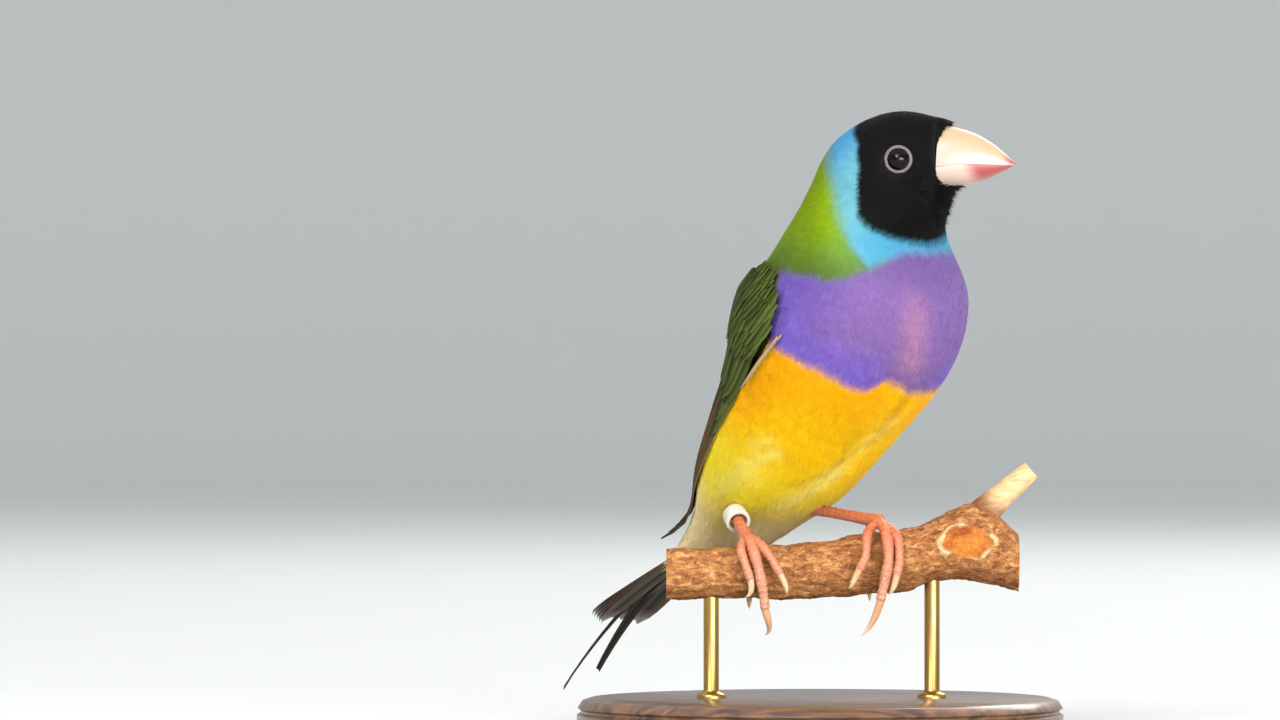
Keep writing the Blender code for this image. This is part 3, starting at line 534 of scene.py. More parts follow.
def body_point(at, angle, lift=0.0):
    """Points of the plain body in mm, 0 at the back and positive to the bird's right."""
    at, angle, lift = np.broadcast_arrays(np.asarray(at, float), angle, lift)
    centre, right, up, _, width, back, front = body_frame(at)
    sin, cos = np.sin(angle), np.cos(angle)
    depth = np.where(cos > 0, back, front)
    flat = right * (sin * width)[..., None] + up * (cos * depth)[..., None]
    out = right * (sin / width)[..., None] + up * (cos / depth)[..., None]
    return centre + flat + unit(out) * lift[..., None]


def coat_point(at, angle, lift=0.0):
    """Points of the coat in mm, with its swells, and slim over the root of the tail."""
    at, angle, lift = np.broadcast_arrays(np.asarray(at, float), angle, lift)
    slim = np.where(from_back(angle) > 90, *TAIL_SLIM)
    tail = (1 - soft(0, along("tail_root") + 2, at)) * slim
    return body_point(at, angle, lift + swell(at, angle) - tail)


def wing_foot(at):
    """The folded wing's lower edge at places on the spine, in degrees."""
    back = along("breast") + WRIST_ABOVE_BREAST - at
    return smooth_curve(WING_EDGES[0], WING_EDGES[2], np.clip(back, WING_EDGES[0][0], WING_EDGES[0][-1]))


def wing_cover(at, angle):
    """How far a place lies under the folded wing, from 0 to 1."""
    spread = from_back(angle)
    return (
        soft(18, 34, spread)
        * (1 - soft(0, 1, (spread - wing_foot(at) + COVER_EDGE[0]) / sum(COVER_EDGE)))
        * (1 - soft(along("breast"), along("shoulders"), at))
        * soft(along("tail_root"), along("vent"), at)
    )


def blend(low, high, share):
    """Mixes two colours by a share for each point."""
    share = np.asarray(share)[..., None]
    return np.asarray(low) * (1 - share) + np.asarray(high) * share


def streaks(lines, at, around):
    """How near places lie to the nearest of some lines on the body, from 0 to 1."""
    at, around = np.broadcast_arrays(np.asarray(at, float), around)
    total = np.zeros(at.shape)
    scale = np.array([1.0, BELLY_GIRTH_STEP])
    for first, last, wide, strength in lines:
        run = (np.array(last) - first) * scale
        off = np.stack([at - first[0], around - first[1]], -1) * scale
        share = np.clip(off @ run / (run @ run), 0, 1)
        gap = np.linalg.norm(off - share[..., None] * run, axis=-1)
        total = np.maximum(total, strength * np.exp(-((gap / wide) ** 2)))
    return total


def marking(colours, at, angle):
    """The plumage's colour at places on the body, for skin and feathers alike."""

    def fade(name, value):
        return soft(*FADES[name], value)

    around = np.degrees(angle) % 360
    spread = np.minimum(around, 360 - around)
    # The feathers' tips make each edge uneven.
    ripple = 0.35 * np.sin(around * 0.21 + 1.3) + 0.25 * np.sin(around * 0.53)
    ripple += 0.2 * np.sin(at * 1.7 + around * 0.3)
    place = at + ripple * 0.22
    beyond_collar = place - np.interp(around, *COLLAR_EDGE)

    back = blend(colours.back_green, colours.neck_green, fade("neck", place))
    lime = fade("lime", beyond_collar) * fade("lime_turn", spread)
    back = blend(back, colours.neck_lime, lime * 0.8)
    side = fade("neck_side_turn", spread) * fade("neck_side", place)
    back = blend(back, colours.side_green, side * 0.8)
    mantle = (1 - fade("mantle_top", place)) * fade("mantle", place) * fade("mantle_turn", spread)
    back = blend(back, colours.mantle_olive, mantle)
    back = blend(back, colours.rump_blue, 1 - fade("rump", place))

    breast = blend(colours.violet, colours.lilac, fade("lilac_turn", spread))
    low = (1 - fade("low_violet", place)) * (1 - fade("low_violet_turn", spread))
    breast = blend(breast, colours.violet_low, 0.8 * low)
    # Painted highlight: a pale pink streak of light beside the breast's furrow.
    off = (around - HIGHLIGHT_TURN + (place - HIGHLIGHT_AT) * HIGHLIGHT_SLANT) / HIGHLIGHT_HALF
    sheen = np.exp(-(off**2)) * fade("highlight_foot", place) * (1 - fade("highlight_top", place))
    breast = blend(breast, colours.pink_highlight, 0.85 * sheen)
    breast = blend(breast, colours.upper_purple, 0.7 * fade("upper_breast", place))

    belly = blend(colours.pale_yellow, colours.yellow, fade("yellow", place))
    # Deep gold reaches lower on the flanks: partly the belly's own deeper yellow, partly painted shade where
    # the flank turns away from the light.
    gold = fade("gold", place + 9 * (1 - fade("flank_shade_turn", spread)))
    belly = blend(belly, colours.deep_yellow, gold * (1 - 0.75 * fade("gold_middle_turn", spread)))
    # Painted shade: the fold beside the pale streaks is painted darker.
    belly = blend(belly, colours.fold_shade_yellow, streaks(FOLD_SHADE, place, around))
    # Painted highlight: pale streaks of light along the loose belly feathers.
    belly = blend(belly, colours.swoop_highlight_yellow, streaks(HIGHLIGHT_SWOOPS, place, around))
    vent = fade("vent", place - 5.5 * fade("vent_turn", spread))
    belly = blend(colours.vent_cream, belly, vent)

    front = blend(belly, breast, soft(-0.3, 0.3, place - np.interp(around, *BREAST_FOOT)))
    shown = soft(-3, 3, spread - np.interp(place, *FLANK_EDGE))
    shown = shown * (1 - soft(-0.45, 0.45, place - np.interp(around, *BREAST_TOP)))
    coat = blend(back, front, shown)

    collar = blend(colours.collar_blue, colours.collar_pale, fade("cheek_turn", spread))
    collar = blend(collar, colours.collar_cyan, fade("throat_turn", spread))
    # The collar's edge is soft on the nape and crisp on the throat.
    crisp = fade("collar_side_turn", spread)
    coat = blend(coat, collar, soft(-1.5 + 0.9 * crisp, 1.1 - 0.6 * crisp, beyond_collar))
    mask = soft(-0.15, 0.15, at + ripple * 0.08 - np.interp(spread, *MASK_EDGE))
    return blend(coat, np.array(colours.mask_black), mask)


def add_node(tree, kind, sockets=None, **settings):
    """Adds a node with its settings, and sets each socket or links it to what feeds it."""
    node = tree.nodes.new("ShaderNode" + kind)
    for key, value in settings.items():
        setattr(node, key, value)
    for key, value in (sockets or {}).items():
        socket = node.inputs[key]
        if isinstance(value, bpy.types.Node):
            value = value.outputs[0]
        if isinstance(value, bpy.types.NodeSocket):
            tree.links.new(value, socket)
        else:
            socket.default_value = (*value, 1) if socket.type == "RGBA" else value
    return node


def new_material(name, roughness, **sockets):
    """An empty Principled material, its constants set on the shader's own sockets."""
    material = bpy.data.materials.new(name)
    material.use_nodes = True
    shader = material.node_tree.nodes["Principled BSDF"]
    shader.inputs["Roughness"].default_value = roughness
    for key, value in sockets.items():
        shader.inputs[key.replace("_", " ")].default_value = value
    return material, material.node_tree


def dress(material, colour, height, depth, strength):
    """Links a material's colour, if it has a pattern, and its bump of a real depth in mm."""
    tree = material.node_tree
    shader = tree.nodes["Principled BSDF"]
    if isinstance(colour, bpy.types.Node):
        colour = colour.outputs[0]
    if colour:
        tree.links.new(colour, shader.inputs["Base Color"])
    bump = add_node(tree, "Bump", {"Height": height, "Distance": depth * MM, "Strength": strength})
    tree.links.new(bump.outputs["Normal"], shader.inputs["Normal"])
    return material


def feather_material(name, roughness, barb_mm, sheen, ridge, shine):
    """Feather keratin, dyed by its own markings, with the fine ridges that the barbs make."""
    material, tree = new_material(
        name, roughness, Sheen_Weight=sheen, Sheen_Roughness=0.45, Specular_IOR_Level=shine
    )
    marks = add_node(tree, "Attribute", attribute_name="Marking")
    vane = add_node(tree, "SeparateXYZ", {0: add_node(tree, "UVMap", uv_map="Vane")})
    off = add_node(tree, "Math", {0: vane.outputs[0]}, operation="ABSOLUTE")
    slant = add_node(tree, "Math", {0: off, 1: BARB_SLANT}, operation="MULTIPLY")
    run = add_node(tree, "Math", {0: vane.outputs[1], 1: slant}, operation="SUBTRACT")
    # Barbs really stand about 0.05 mm apart, and are drawn coarser here so that they show.
    turns = add_node(tree, "Math", {0: run, 1: FULL_TURN / barb_mm}, operation="MULTIPLY")
    wave = add_node(tree, "Math", {0: turns}, operation="SINE")
    # Painted shade and painted highlight: the colour darkens in the grooves between the barbs and lightens
    # on their crests, in step with the bump.
    shades = {FROM_LOW: -1.0, FROM_HIGH: 1.0, TO_LOW: 1 - 0.1 * ridge, TO_HIGH: 1 + 0.08 * ridge}
    shade = add_node(tree, "MapRange", {VALUE: wave, **shades})
    tint = add_node(tree, "VectorMath", {0: marks, 1: shade}, operation="MULTIPLY")
    return dress(material, tint, wave, 0.02, 0.6 * ridge)


def arrays(shape):
    """Reads a bmesh shape as points and triangles, then frees it."""
    bmesh.ops.triangulate(shape, faces=shape.faces)
    points = np.array([vert.co[:] for vert in shape.verts])
    faces = np.array([[vert.index for vert in face.verts] for face in shape.faces])
    shape.free()
    return points, faces


def vane_shape(across, lengthwise):
    """A thin closed vane: x from -1 to 1 across, y from 0 to 1 along, z 0 on top and -1 below."""
    shape = bmesh.new()
    bmesh.ops.create_grid(shape, x_segments=across, y_segments=lengthwise, size=1.0)
    bmesh.ops.recalc_face_normals(shape, faces=shape.faces)
    if shape.faces[:][0].normal.z < 0:
        bmesh.ops.reverse_faces(shape, faces=shape.faces)
    bmesh.ops.solidify(shape, geom=shape.faces, thickness=1.0)
    points, faces = arrays(shape)
    points[:, 1] = (points[:, 1] + 1) / 2
    points[:, 2] -= points[:, 2].max()
    return points, faces


def barb_shape():
    """A thin three-sided spike along y from 0 to 1, one unit round at its foot."""
    shape = bmesh.new()
    bmesh.ops.create_cone(shape, cap_ends=True, segments=3, radius1=1.0, radius2=0.0, depth=1.0)
    bmesh.ops.remove_doubles(shape, verts=shape.verts, dist=0.01)
    points, faces = arrays(shape)
    points[:, 2] += 0.5
    return points[:, [0, 2, 1]], faces[:, ::-1]


def vane_outline(share, pointed):
    """A feather's half width from its root to its tip, as a share of its widest."""
    root = 0.55 + 0.45 * soft(0.0, 0.35, share)
    tip = np.sqrt(np.clip(1 - (np.maximum(share - 0.72, 0) / 0.28) ** 2, 0, 1))
    point = 1 - soft(0.2, 1.0, share) * 0.85
    return root * (tip * (1 - pointed) + point * pointed) + 0.05


class Feathers:
    """A flock of like feathers: where each lies on a surface, and its sizes in mm."""

    SIZES = ("half", "low", "high", "pointed", "camber", "tilt", "loose")

    def __init__(self, surface, roots, tips, half, low, high, pointed, camber, tilt=0.0, loose=0.0):
        self.surface = surface
        self.roots, self.tips = np.asarray(roots, float), np.asarray(tips, float)
        for key, size in zip(self.SIZES, (half, low, high, pointed, camber, tilt, loose)):
            setattr(self, key, np.broadcast_to(size, len(self.roots))[:, None])
        start = surface(*self.roots.T, self.low[:, 0])
        end = surface(*self.tips.T, self.high[:, 0])
        self.length = np.linalg.norm(end - start, axis=-1)[:, None]

    def some(self, which):
        """The feathers at some places of the list, which may repeat."""
        sizes = [getattr(self, key)[which, 0] for key in self.SIZES]
        return Feathers(self.surface, self.roots[which], self.tips[which], *sizes)

    def spots(self, share):
        """The place and the angle on the surface at a share of the way along each feather."""
        run = self.tips - self.roots
        return [self.roots[:, k, None] + run[:, k, None] * share for k in (0, 1)]

    def place(self, across, share, rise):
        """Points at a share of the way along each feather, across and rise in mm."""
        at, angle = self.spots(share)
        ease = 1 - (1 - share) ** 2
        off = across / self.half
        lift = self.low + (self.high - self.low) * ease + self.tilt * off
        lift = lift + self.camber * (1 - off**2) + rise
        beside = self.surface(at, angle + FACING_TURN, lift) - self.surface(at, angle - FACING_TURN, lift)
        girth = np.linalg.norm(beside, axis=-1) / (2 * FACING_TURN)
        return self.surface(at, angle + across / np.maximum(girth, 0.8), lift)

    def facing(self, share, stray):
        """The way the surface faces under each feather, turned a little at random."""
        at, angle = self.spots(share)
        middle = self.surface(at, angle, 0.0)
        beside = self.surface(at, angle + FACING_TURN, 0.0) - middle
        beyond = self.surface(at + FACING_STEP, angle, 0.0) - middle
        out = unit(np.cross(beyond, beside))
        outward = self.surface(at, angle, 1.0) - middle
        return out * np.sign(np.sum(out * outward, axis=-1, keepdims=True)) + stray


def tuft_patch(roots, across, share):
    """A small patch at each root's place on an unwrap of the body."""
    u = 0.5 + ((roots[:, 1] + math.pi) % FULL_TURN - math.pi) / FULL_TURN * 0.96
    v = 0.03 + 0.94 * np.clip(roots[:, 0] / STATION_AT[-1], -0.02, 1.0)
    u, v = u[:, None] + across * PATCH / 2, v[:, None] + (share - 0.5) * PATCH
    return np.stack(np.broadcast_arrays(u, v), -1)


def strewn(name, points, faces, marks, patch, vane, material, facing=None):
    """Joins many copies of one small shape into a mesh. Points are (copies, corners, 3) in mm."""
    copies, count = points.shape[:2]
    # Where the surface turns the shape inside out, its faces are turned back.
    inner = points - points.mean(axis=1, keepdims=True)
    a, b, c = (inner[:, faces[:, k]] for k in range(3))
    if np.sum(a * np.cross(b, c)) < 0:
        faces = faces[:, ::-1]
    corners = (faces[None] + (np.arange(copies) * count)[:, None, None]).reshape(-1)
    mesh = bpy.data.meshes.new(name)
    mesh.vertices.add(copies * count)
    mesh.vertices.foreach_set("co", (points * MM).astype(np.float32).ravel())
    mesh.loops.add(len(corners))
    mesh.loops.foreach_set("vertex_index", corners.astype(np.int32))
    mesh.polygons.add(len(corners) // 3)
    mesh.polygons.foreach_set("loop_start", np.arange(0, len(corners), 3, dtype=np.int32))
    mesh.update(calc_edges=True)
    for title, values in (("OFBake", patch), ("Vane", vane)):
        layer = mesh.uv_layers.new(name=title)
        flat = np.broadcast_to(values, (copies, count, 2)).reshape(-1, 2)
        layer.data.foreach_set("uv", flat[corners].astype(np.float32).ravel())
    mesh.shade_smooth()
    if facing is not None:
        # Down lies so close that it shades like the body under it, not like single hairs.
        mesh.normals_split_custom_set_from_vertices(facing.reshape(-1, 3).tolist())
    made = added(name, mesh, material)
    paint(made, np.broadcast_to(marks, points.shape).reshape(-1, 3))
    return made


def added(name, mesh, material):
    """Puts a mesh into the scene with its material."""
    made = bpy.data.objects.new(name, mesh)
    mesh.materials.append(material)
    bpy.context.scene.collection.objects.link(made)
    return made


def finish_piece(made, slot, *nodes):
    """Rides a piece on the body and hides the solids that it stands for; the slot is not used."""
    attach(made, "root")
    if nodes:
        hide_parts(*nodes)


def loft(rings):
    """A closed skin through rings of equally many points, each ring extruded from the last."""
    shape = bmesh.new()
    row = [shape.verts.new(point) for point in rings[0]]
    edges = [shape.edges.new((row[i - 1], row[i])) for i in range(len(row))]
    ends = [list(edges)]
    for ring in rings[1:]:
        grown = bmesh.ops.extrude_edge_only(shape, edges=edges)["geom"]
        fresh = {item for item in grown if isinstance(item, bmesh.types.BMVert)}
        edges = [
            item
            for item in grown
            if isinstance(item, bmesh.types.BMEdge) and all(v in fresh for v in item.verts)
        ]
        row = [next(e.other_vert(v) for e in v.link_edges if e.other_vert(v) in fresh) for v in row]
        for vert, point in zip(row, ring):
            vert.co = point
    for end in (*ends, edges):
        bmesh.ops.contextual_create(shape, geom=end)
    bmesh.ops.recalc_face_normals(shape, faces=shape.faces)
    return shape


def spun(profile, steps, closed=False):
    """Turns a profile of radii and heights in mm round the Z axis into a solid without a seam."""
    shape = bmesh.new()
    verts = [shape.verts.new((radius, 0, height)) for radius, height in profile]
    pairs = list(zip(verts[-1:] + verts, verts))
    edges = [shape.edges.new(pair) for pair in (pairs if closed else pairs[1:])]
    bmesh.ops.spin(
        shape,
        geom=verts + edges,
        axis=(0, 0, 1),
        cent=(0, 0, 0),
        steps=steps,
        angle=FULL_TURN,
        use_merge=True,
    )
    bmesh.ops.remove_doubles(shape, verts=shape.verts, dist=0.001)
    bmesh.ops.recalc_face_normals(shape, faces=shape.faces)
    return shape


def set_at(shape, place, way):
    """Moves a shape from the origin to a place in mm, its Z axis turned along a direction."""
    turn = Vector(way).to_track_quat("Z", "Y").to_matrix().to_4x4()
    bmesh.ops.transform(shape, matrix=Matrix.Translation(place) @ turn, verts=shape.verts)
    return shape


def new_piece(name, shape, material, sharp=40):
    """Turns a bmesh in mm into a smooth-shaded object in metres."""
    bmesh.ops.scale(shape, vec=(MM, MM, MM), verts=shape.verts)
    mesh = bpy.data.meshes.new(name)
    shape.to_mesh(mesh)
    shape.free()
    mesh.shade_smooth()
    mesh.set_sharp_from_angle(angle=math.radians(sharp))
    return added(name, mesh, material)


def paint(made, colours):
    """Stores one colour for each point of a piece."""
    layer = made.data.color_attributes.new("Marking", "FLOAT_COLOR", "POINT")
    rgba = np.ones((len(made.data.vertices), 4), np.float32)
    rgba[:, :3] = colours
    layer.data.foreach_set("color", rgba.ravel())


def vertices(made):
    """A piece's points in mm."""
    flat = np.empty(len(made.data.vertices) * 3, np.float32)
    made.data.vertices.foreach_get("co", flat)
    return flat.reshape(-1, 3) / MM


def make_skin(colours):
    """One skin under the whole coat, with the coat's markings."""
    material, tree = new_material(
        "Feather down over skin", 0.8, Sheen_Weight=0.05, Specular_IOR_Level=0.2
    )
    marks = add_node(tree, "Attribute", attribute_name="Marking")
    place = add_node(tree, "TexCoord").outputs["Object"]
    # Down breaks up in tufts about 0.8 mm across.
    down = add_node(tree, "TexNoise", {"Vector": place, "Scale": 1 / (0.8 * MM), "Detail": 4.0})
    dress(material, marks, down, 0.3, 0.6)
    at = np.linspace(2.0, STATION_AT[-1], SKIN_RINGS)[:, None]
    angle = np.linspace(0, FULL_TURN, SKIN_SIDES, endpoint=False)[None, :]
    lift = -np.interp(at, *SKIN_DEPTH) - WING_BED * wing_cover(at, angle)
    made = new_piece("skin", loft(coat_point(at, angle, lift)), material)
    at, angle = (grid.ravel() for grid in np.broadcast_arrays(at, angle))
    paint(made, marking(colours, at, angle))
    # The unwrap is cut along the belly.
    layer = made.data.uv_layers.new(name="OFBake")
    for face in made.data.polygons:
        own = list(face.vertices)
        turns = angle[own] / FULL_TURN
        if turns.max() - turns.min() > 0.5:
            turns = np.where(turns < 0.5, turns + 1, turns)
        turns = (turns + 0.5) % 1.0 if turns.max() <= 1 else turns - 0.5
        for loop, turn, spot in zip(face.loop_indices, turns, at[own]):
            layer.data[loop].uv = (turn, 0.03 + 0.94 * spot / STATION_AT[-1])
    finish_piece(made, "body_feathers", "head", "neck", "torso", "thigh_right", "thigh_left")


def near_eyes(places):
    """Whether places on the coat lie over an eye or its lid."""
    near = False
    for side in ("right", "left"):
        off = coat_point(*places.T) - eye_middle(side)
        deep = off @ eye_axis(side)
        aside = np.linalg.norm(off - deep[:, None] * eye_axis(side), axis=-1)
        near = near | ((aside < LID_RADIUS + LID_HALF) & (deep > 0))
    return near


def coat_feathers(sizes, first, last, draw):
    """Feathers of the coat between two places on the spine, spread evenly in staggered rows."""
    roots, tips, halves = [], [], []
    at, row = last, 0
    while at > first:
        length = float(np.interp(at, *COAT_LENGTH)) * sizes.coat_length
        *_, width, back, front = body_frame(at)
        radius = (float(width) + (float(back) + float(front)) / 2) / 2
        girth = FULL_TURN * radius
        count = max(COAT_FEWEST, int(girth / (length * sizes.coat_spacing * COAT_ROOM)))
        angle = (np.arange(count) + 0.5 * (row % 2)) / count * FULL_TURN
        angle = angle + draw.uniform(-COAT_UNEVEN, COAT_UNEVEN, count) * FULL_TURN / count
        place = at + draw.uniform(-COAT_UNEVEN, COAT_UNEVEN, count) * length * sizes.coat_spacing
        place = np.minimum(place, STATION_AT[-1])
        # Where the coat slopes across the spine, a feather takes up less of the spine's length.
        step = coat_point(place, angle) - coat_point(place - STEEP_STEP, angle)
        run = np.linalg.norm(step, axis=-1) / STEEP_STEP
        reach = length * draw.uniform(*COAT_LENGTHS, count) / np.maximum(run, STEEPEST)
        drift = draw.normal(0, COAT_TURN, count) * length / radius
        roots.append(np.stack([place, angle], -1))
        tips.append(np.stack([place - reach, angle + drift], -1))
        halves.append(np.full(count, length * COAT_HALF) * draw.uniform(*COAT_WIDTHS, count))
        at -= length * sizes.coat_spacing
        row += 1
    roots, tips, halves = (np.concatenate(items) for items in (roots, tips, halves))
    keep = (wing_cover(*roots.T) < UNDER_WING) & ~near_eyes(roots)
    # A feather that would reach over an eye is cut short.
    over = near_eyes(tips + (tips - roots) * BARB_BEYOND)
    tips[over] = roots[over] + (tips[over] - roots[over]) * CUT_SHORT
    return roots[keep], np.maximum(tips[keep], [COAT_END, -np.inf]), halves[keep]


def face_frame():
    """The middle of the bill's base with the head's directions right, up and ahead."""
    return body_frame(along("face"))[:4]


def eye_axis(side):
    """The way an eye looks."""
    _, right, _, ahead = face_frame()
    return unit(right * (1 if side == "right" else -1) + ahead * 0.12)


def eye_middle(side):
    """The middle of an eye in mm, from its solid."""
    return np.mean(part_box("eye_" + side), axis=0) / MM


def coat_pieces(name, flock, around, hue, barbs, draw, material):
    """One region's feathers: closed vanes, and the fine barbs that fringe them."""
    count = len(flock.roots)
    vane, vane_faces = vane_shape(2, 4)
    x, y, z = vane.T[:, None]
    across = x * flock.half * vane_outline(y, flock.pointed)
    share = np.broadcast_to(y, across.shape)
    points = flock.place(across, share, z * COAT_VANE_THICK - VANE_BELOW_BARBS)
    marks = hue(flock, across, share) * (1 + draw.uniform(-0.025, 0.025, (count, 1, 1)))
    facing = flock.facing(share, draw.normal(0, 0.05, (count, 1, 3)))
    strands = np.stack([across, share * flock.length], -1)
    patch = tuft_patch(around, x, share)
    made = strewn(name, points, vane_faces, marks, patch, strands, material, facing)
    finish_piece(made, "body_feathers")

    barb, barb_faces = barb_shape()
    x, y, z = barb.T[:, None]
    owner = np.repeat(np.arange(count), barbs)
    order = np.tile(np.linspace(-BARB_ACROSS, BARB_ACROSS, barbs), count)
    order = (order + draw.uniform(-0.1, 0.1, len(owner)))[:, None]
    astray = draw.normal(0, 0.07, len(owner))[:, None]
    fringe = flock.some(owner)
    start = draw.uniform(*BARB_STARTS, len(owner))[:, None]
    share = start + draw.uniform(*BARB_LENGTHS, len(owner))[:, None] * y
    thick = BARB_THICK[0] + BARB_THICK[1] * fringe.half
    lean = order * (0.86 + 0.24 * y) + astray * y
    across = lean * fringe.half + x * thick
    loose = draw.uniform(0.0, 1.0, len(owner))[:, None] ** 2 * fringe.loose * y**2
    points = fringe.place(across, share, z * thick + BARB_LIFT + loose)
    marks = hue(fringe, across, share) * (1 + draw.uniform(-0.06, 0.06, (len(owner), 1, 1)))
    marks = marks * (0.98 + 0.04 * y[..., None])
    facing = fringe.facing(share, draw.normal(0, 0.08, (len(owner), 1, 3)))
    strands = np.stack([across, share * fringe.length], -1)
    patch = tuft_patch(around[owner], order, share)
    made = strewn(name + "_barbs", points, barb_faces, marks, patch, strands, material, facing)
    finish_piece(made, "body_feathers")


def make_coat(sizes, colours):
    """The body feathers in regions, and the short ones that hem the bill."""
    # Contour feathers: soft keratin with next to no gloss, and a faint velvet sheen.
    body = feather_material("Contour feather keratin", 0.75, 0.3, 0.04, 0.3, 0.12)

    def hue(flock, across, share):
        at, angle = flock.spots(share)
        return marking(colours, at, angle + across / np.interp(at, STATION_AT, STATION_VALUES[:, 5]))

    for index, (name, first, last, share) in enumerate(COAT_REGIONS):
        draw = np.random.default_rng(SEED + index)
        roots, tips, halves = coat_feathers(sizes, first, last, draw)
        low = -0.3 * np.interp(roots[:, 0], *SKIN_DEPTH)
        loose = np.interp(roots[:, 0], *COAT_LOOSE)
        high = draw.uniform(-0.4, 0.3, len(roots)) * loose
        flock = Feathers(coat_point, roots, tips, halves, low, high, 0.05, 0.02 * halves, loose=loose)
        coat_pieces(name, flock, roots, hue, int(sizes.barbs * share), draw, body)
    for hem in BILL_HEMS:
        make_bill_hem(colours, body, *hem)


def make_bill_hem(colours, material, name, ends, middle, spread, count, rows, bend, sink):
    """Short feathers that lie forward over the base of the bill at chin or forehead."""
    face, right, up, ahead = face_frame()
    draw = np.random.default_rng(SEED + HEM_SEED + middle)
    row = np.repeat(np.arange(rows), count)
    turn = np.tile(np.linspace(-spread, spread, count), rows)
    turn = np.radians(middle + turn + draw.uniform(-3, 3, len(turn)))
    first_root, first_tip, last_root, last_tip = np.array(ends)

    def surface(at, angle, lift):
        line, run = np.floor(at), (at - np.floor(at)) * 1.25
        down = line / (rows - 1)
        # The hem's edge bends down from the bill onto the face.
        down = np.stack([np.maximum(down, 0) ** bend, down], -1)
        low = first_root + (last_root - first_root) * down
        far = first_tip + (last_tip - first_tip) * down
        spot = low + (far - low) * run[..., None]
        # Towards its ends the hem draws back and lies down on the face.
        aside = np.abs((np.degrees(angle) - middle + 180) % 360 - 180) / spread
        forward = spot[..., 0]
        forward = np.minimum(forward, 0) + np.maximum(forward, 0) * (1 - 0.8 * soft(0.1, 1.0, aside))
        reach = spot[..., 1] * (1 - sink * down[..., 1] * aside**2) + lift
        side = np.sin(angle) * reach * (0.86 - 0.1 * run)
        return (
            face
            + forward[..., None] * ahead
            + side[..., None] * right
            + (np.cos(angle) * reach)[..., None] * up
        )

    roots = np.stack([row + 0.0, turn], -1)
    reach = draw.uniform(0.68, 0.8, len(row))
    tips = np.stack([row + reach, turn + draw.normal(0, 0.03, len(row))], -1)
    flock = Feathers(surface, roots, tips, HEM_HALF, -0.25, 0.0, 0.4, 0.02, loose=0.04)
    around = np.stack([np.full(len(row), HEM_AT), turn], -1)
    black = np.array(colours.mask_black)

    def hue(flock, across, share):
        return black + 0 * share[..., None]

    coat_pieces("coat_" + name, flock, around, hue, HEM_BARBS, draw, material)


def wing_surface(side):
    """Points over a folded wing: mm behind the wrist, radians from the spine, lift in mm."""
    wrist = along("breast") + WRIST_ABOVE_BREAST

    def surface(back, angle, lift=0.0):
        return body_point(wrist - np.asarray(back, float), np.asarray(angle) * side, lift)

    return surface


def wing_rows(draw):
    """Roots and tips of the small coverts of the wrist, in rows from the hind edge forward."""
    roots, tips = [], []
    for row, back in enumerate(COVERT_ROWS):
        high, low = (float(np.interp(back, WING_EDGES[0], WING_EDGES[i])) for i in (1, 2))
        high, low = high + COVERT_EDGES[0], low + COVERT_EDGES[1]
        count = max(3, int((low - high) / COVERT_APART))
        for i in range(count + 1):
            angle = high + (low - high) * (i + 0.5 * (row % 2)) / (count + 0.5)
            angle += draw.uniform(-COVERT_STRAY_TURN, COVERT_STRAY_TURN)
            reach = draw.uniform(*COVERT_LENGTHS)
            # The lower a covert starts, the more it slants up towards the wing's tip.
            slope = 0.45 + 0.5 * (angle - high) / (low - high)
            roots.append((back + draw.uniform(-COVERT_STRAY, COVERT_STRAY), angle))
            stray = draw.uniform(-COVERT_STRAY_TURN, COVERT_STRAY_TURN)
            tips.append((back + reach, angle - slope * reach + stray))
    return np.array(roots), np.array(tips)


def wing_colours(colours, name, across, share, tone, depth):
    """The colour across and along one tier's feathers: dark middle, green webs, pale edge."""
    off = np.abs(across)
    dark = np.array(colours.wing_dark)
    if name == "primary":
        edge = 0.5 * soft(0.9, 0.98, across) * (1 - soft(0.5, 0.95, share))
        web = blend(colours.primary_brown, colours.primary_edge, edge)
        dark = np.array(colours.primary_dark)
    elif name == "edge":
        web = np.array(colours.primary_edge) + 0 * share[..., None]
        dark = np.array(colours.primary_brown)
    elif name in ("secondary", "tertial"):
        web = blend(colours.wing_green, colours.wing_light, soft(0.55, 0.95, off))
    else:
        web = blend(colours.wing_green, colours.wing_light, soft(0.5, 0.95, off) * 0.8)
    middle = (1 - soft(0.05, 0.7, off)) * depth
    return blend(web, dark, middle) * tone[:, None, :]


def flight_vane(stops, lengthwise):
    """A flight feather's vane, its columns drawn close beside the shaft."""
    vane, faces = vane_shape(len(stops) - 1, lengthwise)
    vane[:, 0] = np.interp(vane[:, 0], np.linspace(-1, 1, len(stops)), stops)
    return vane, faces


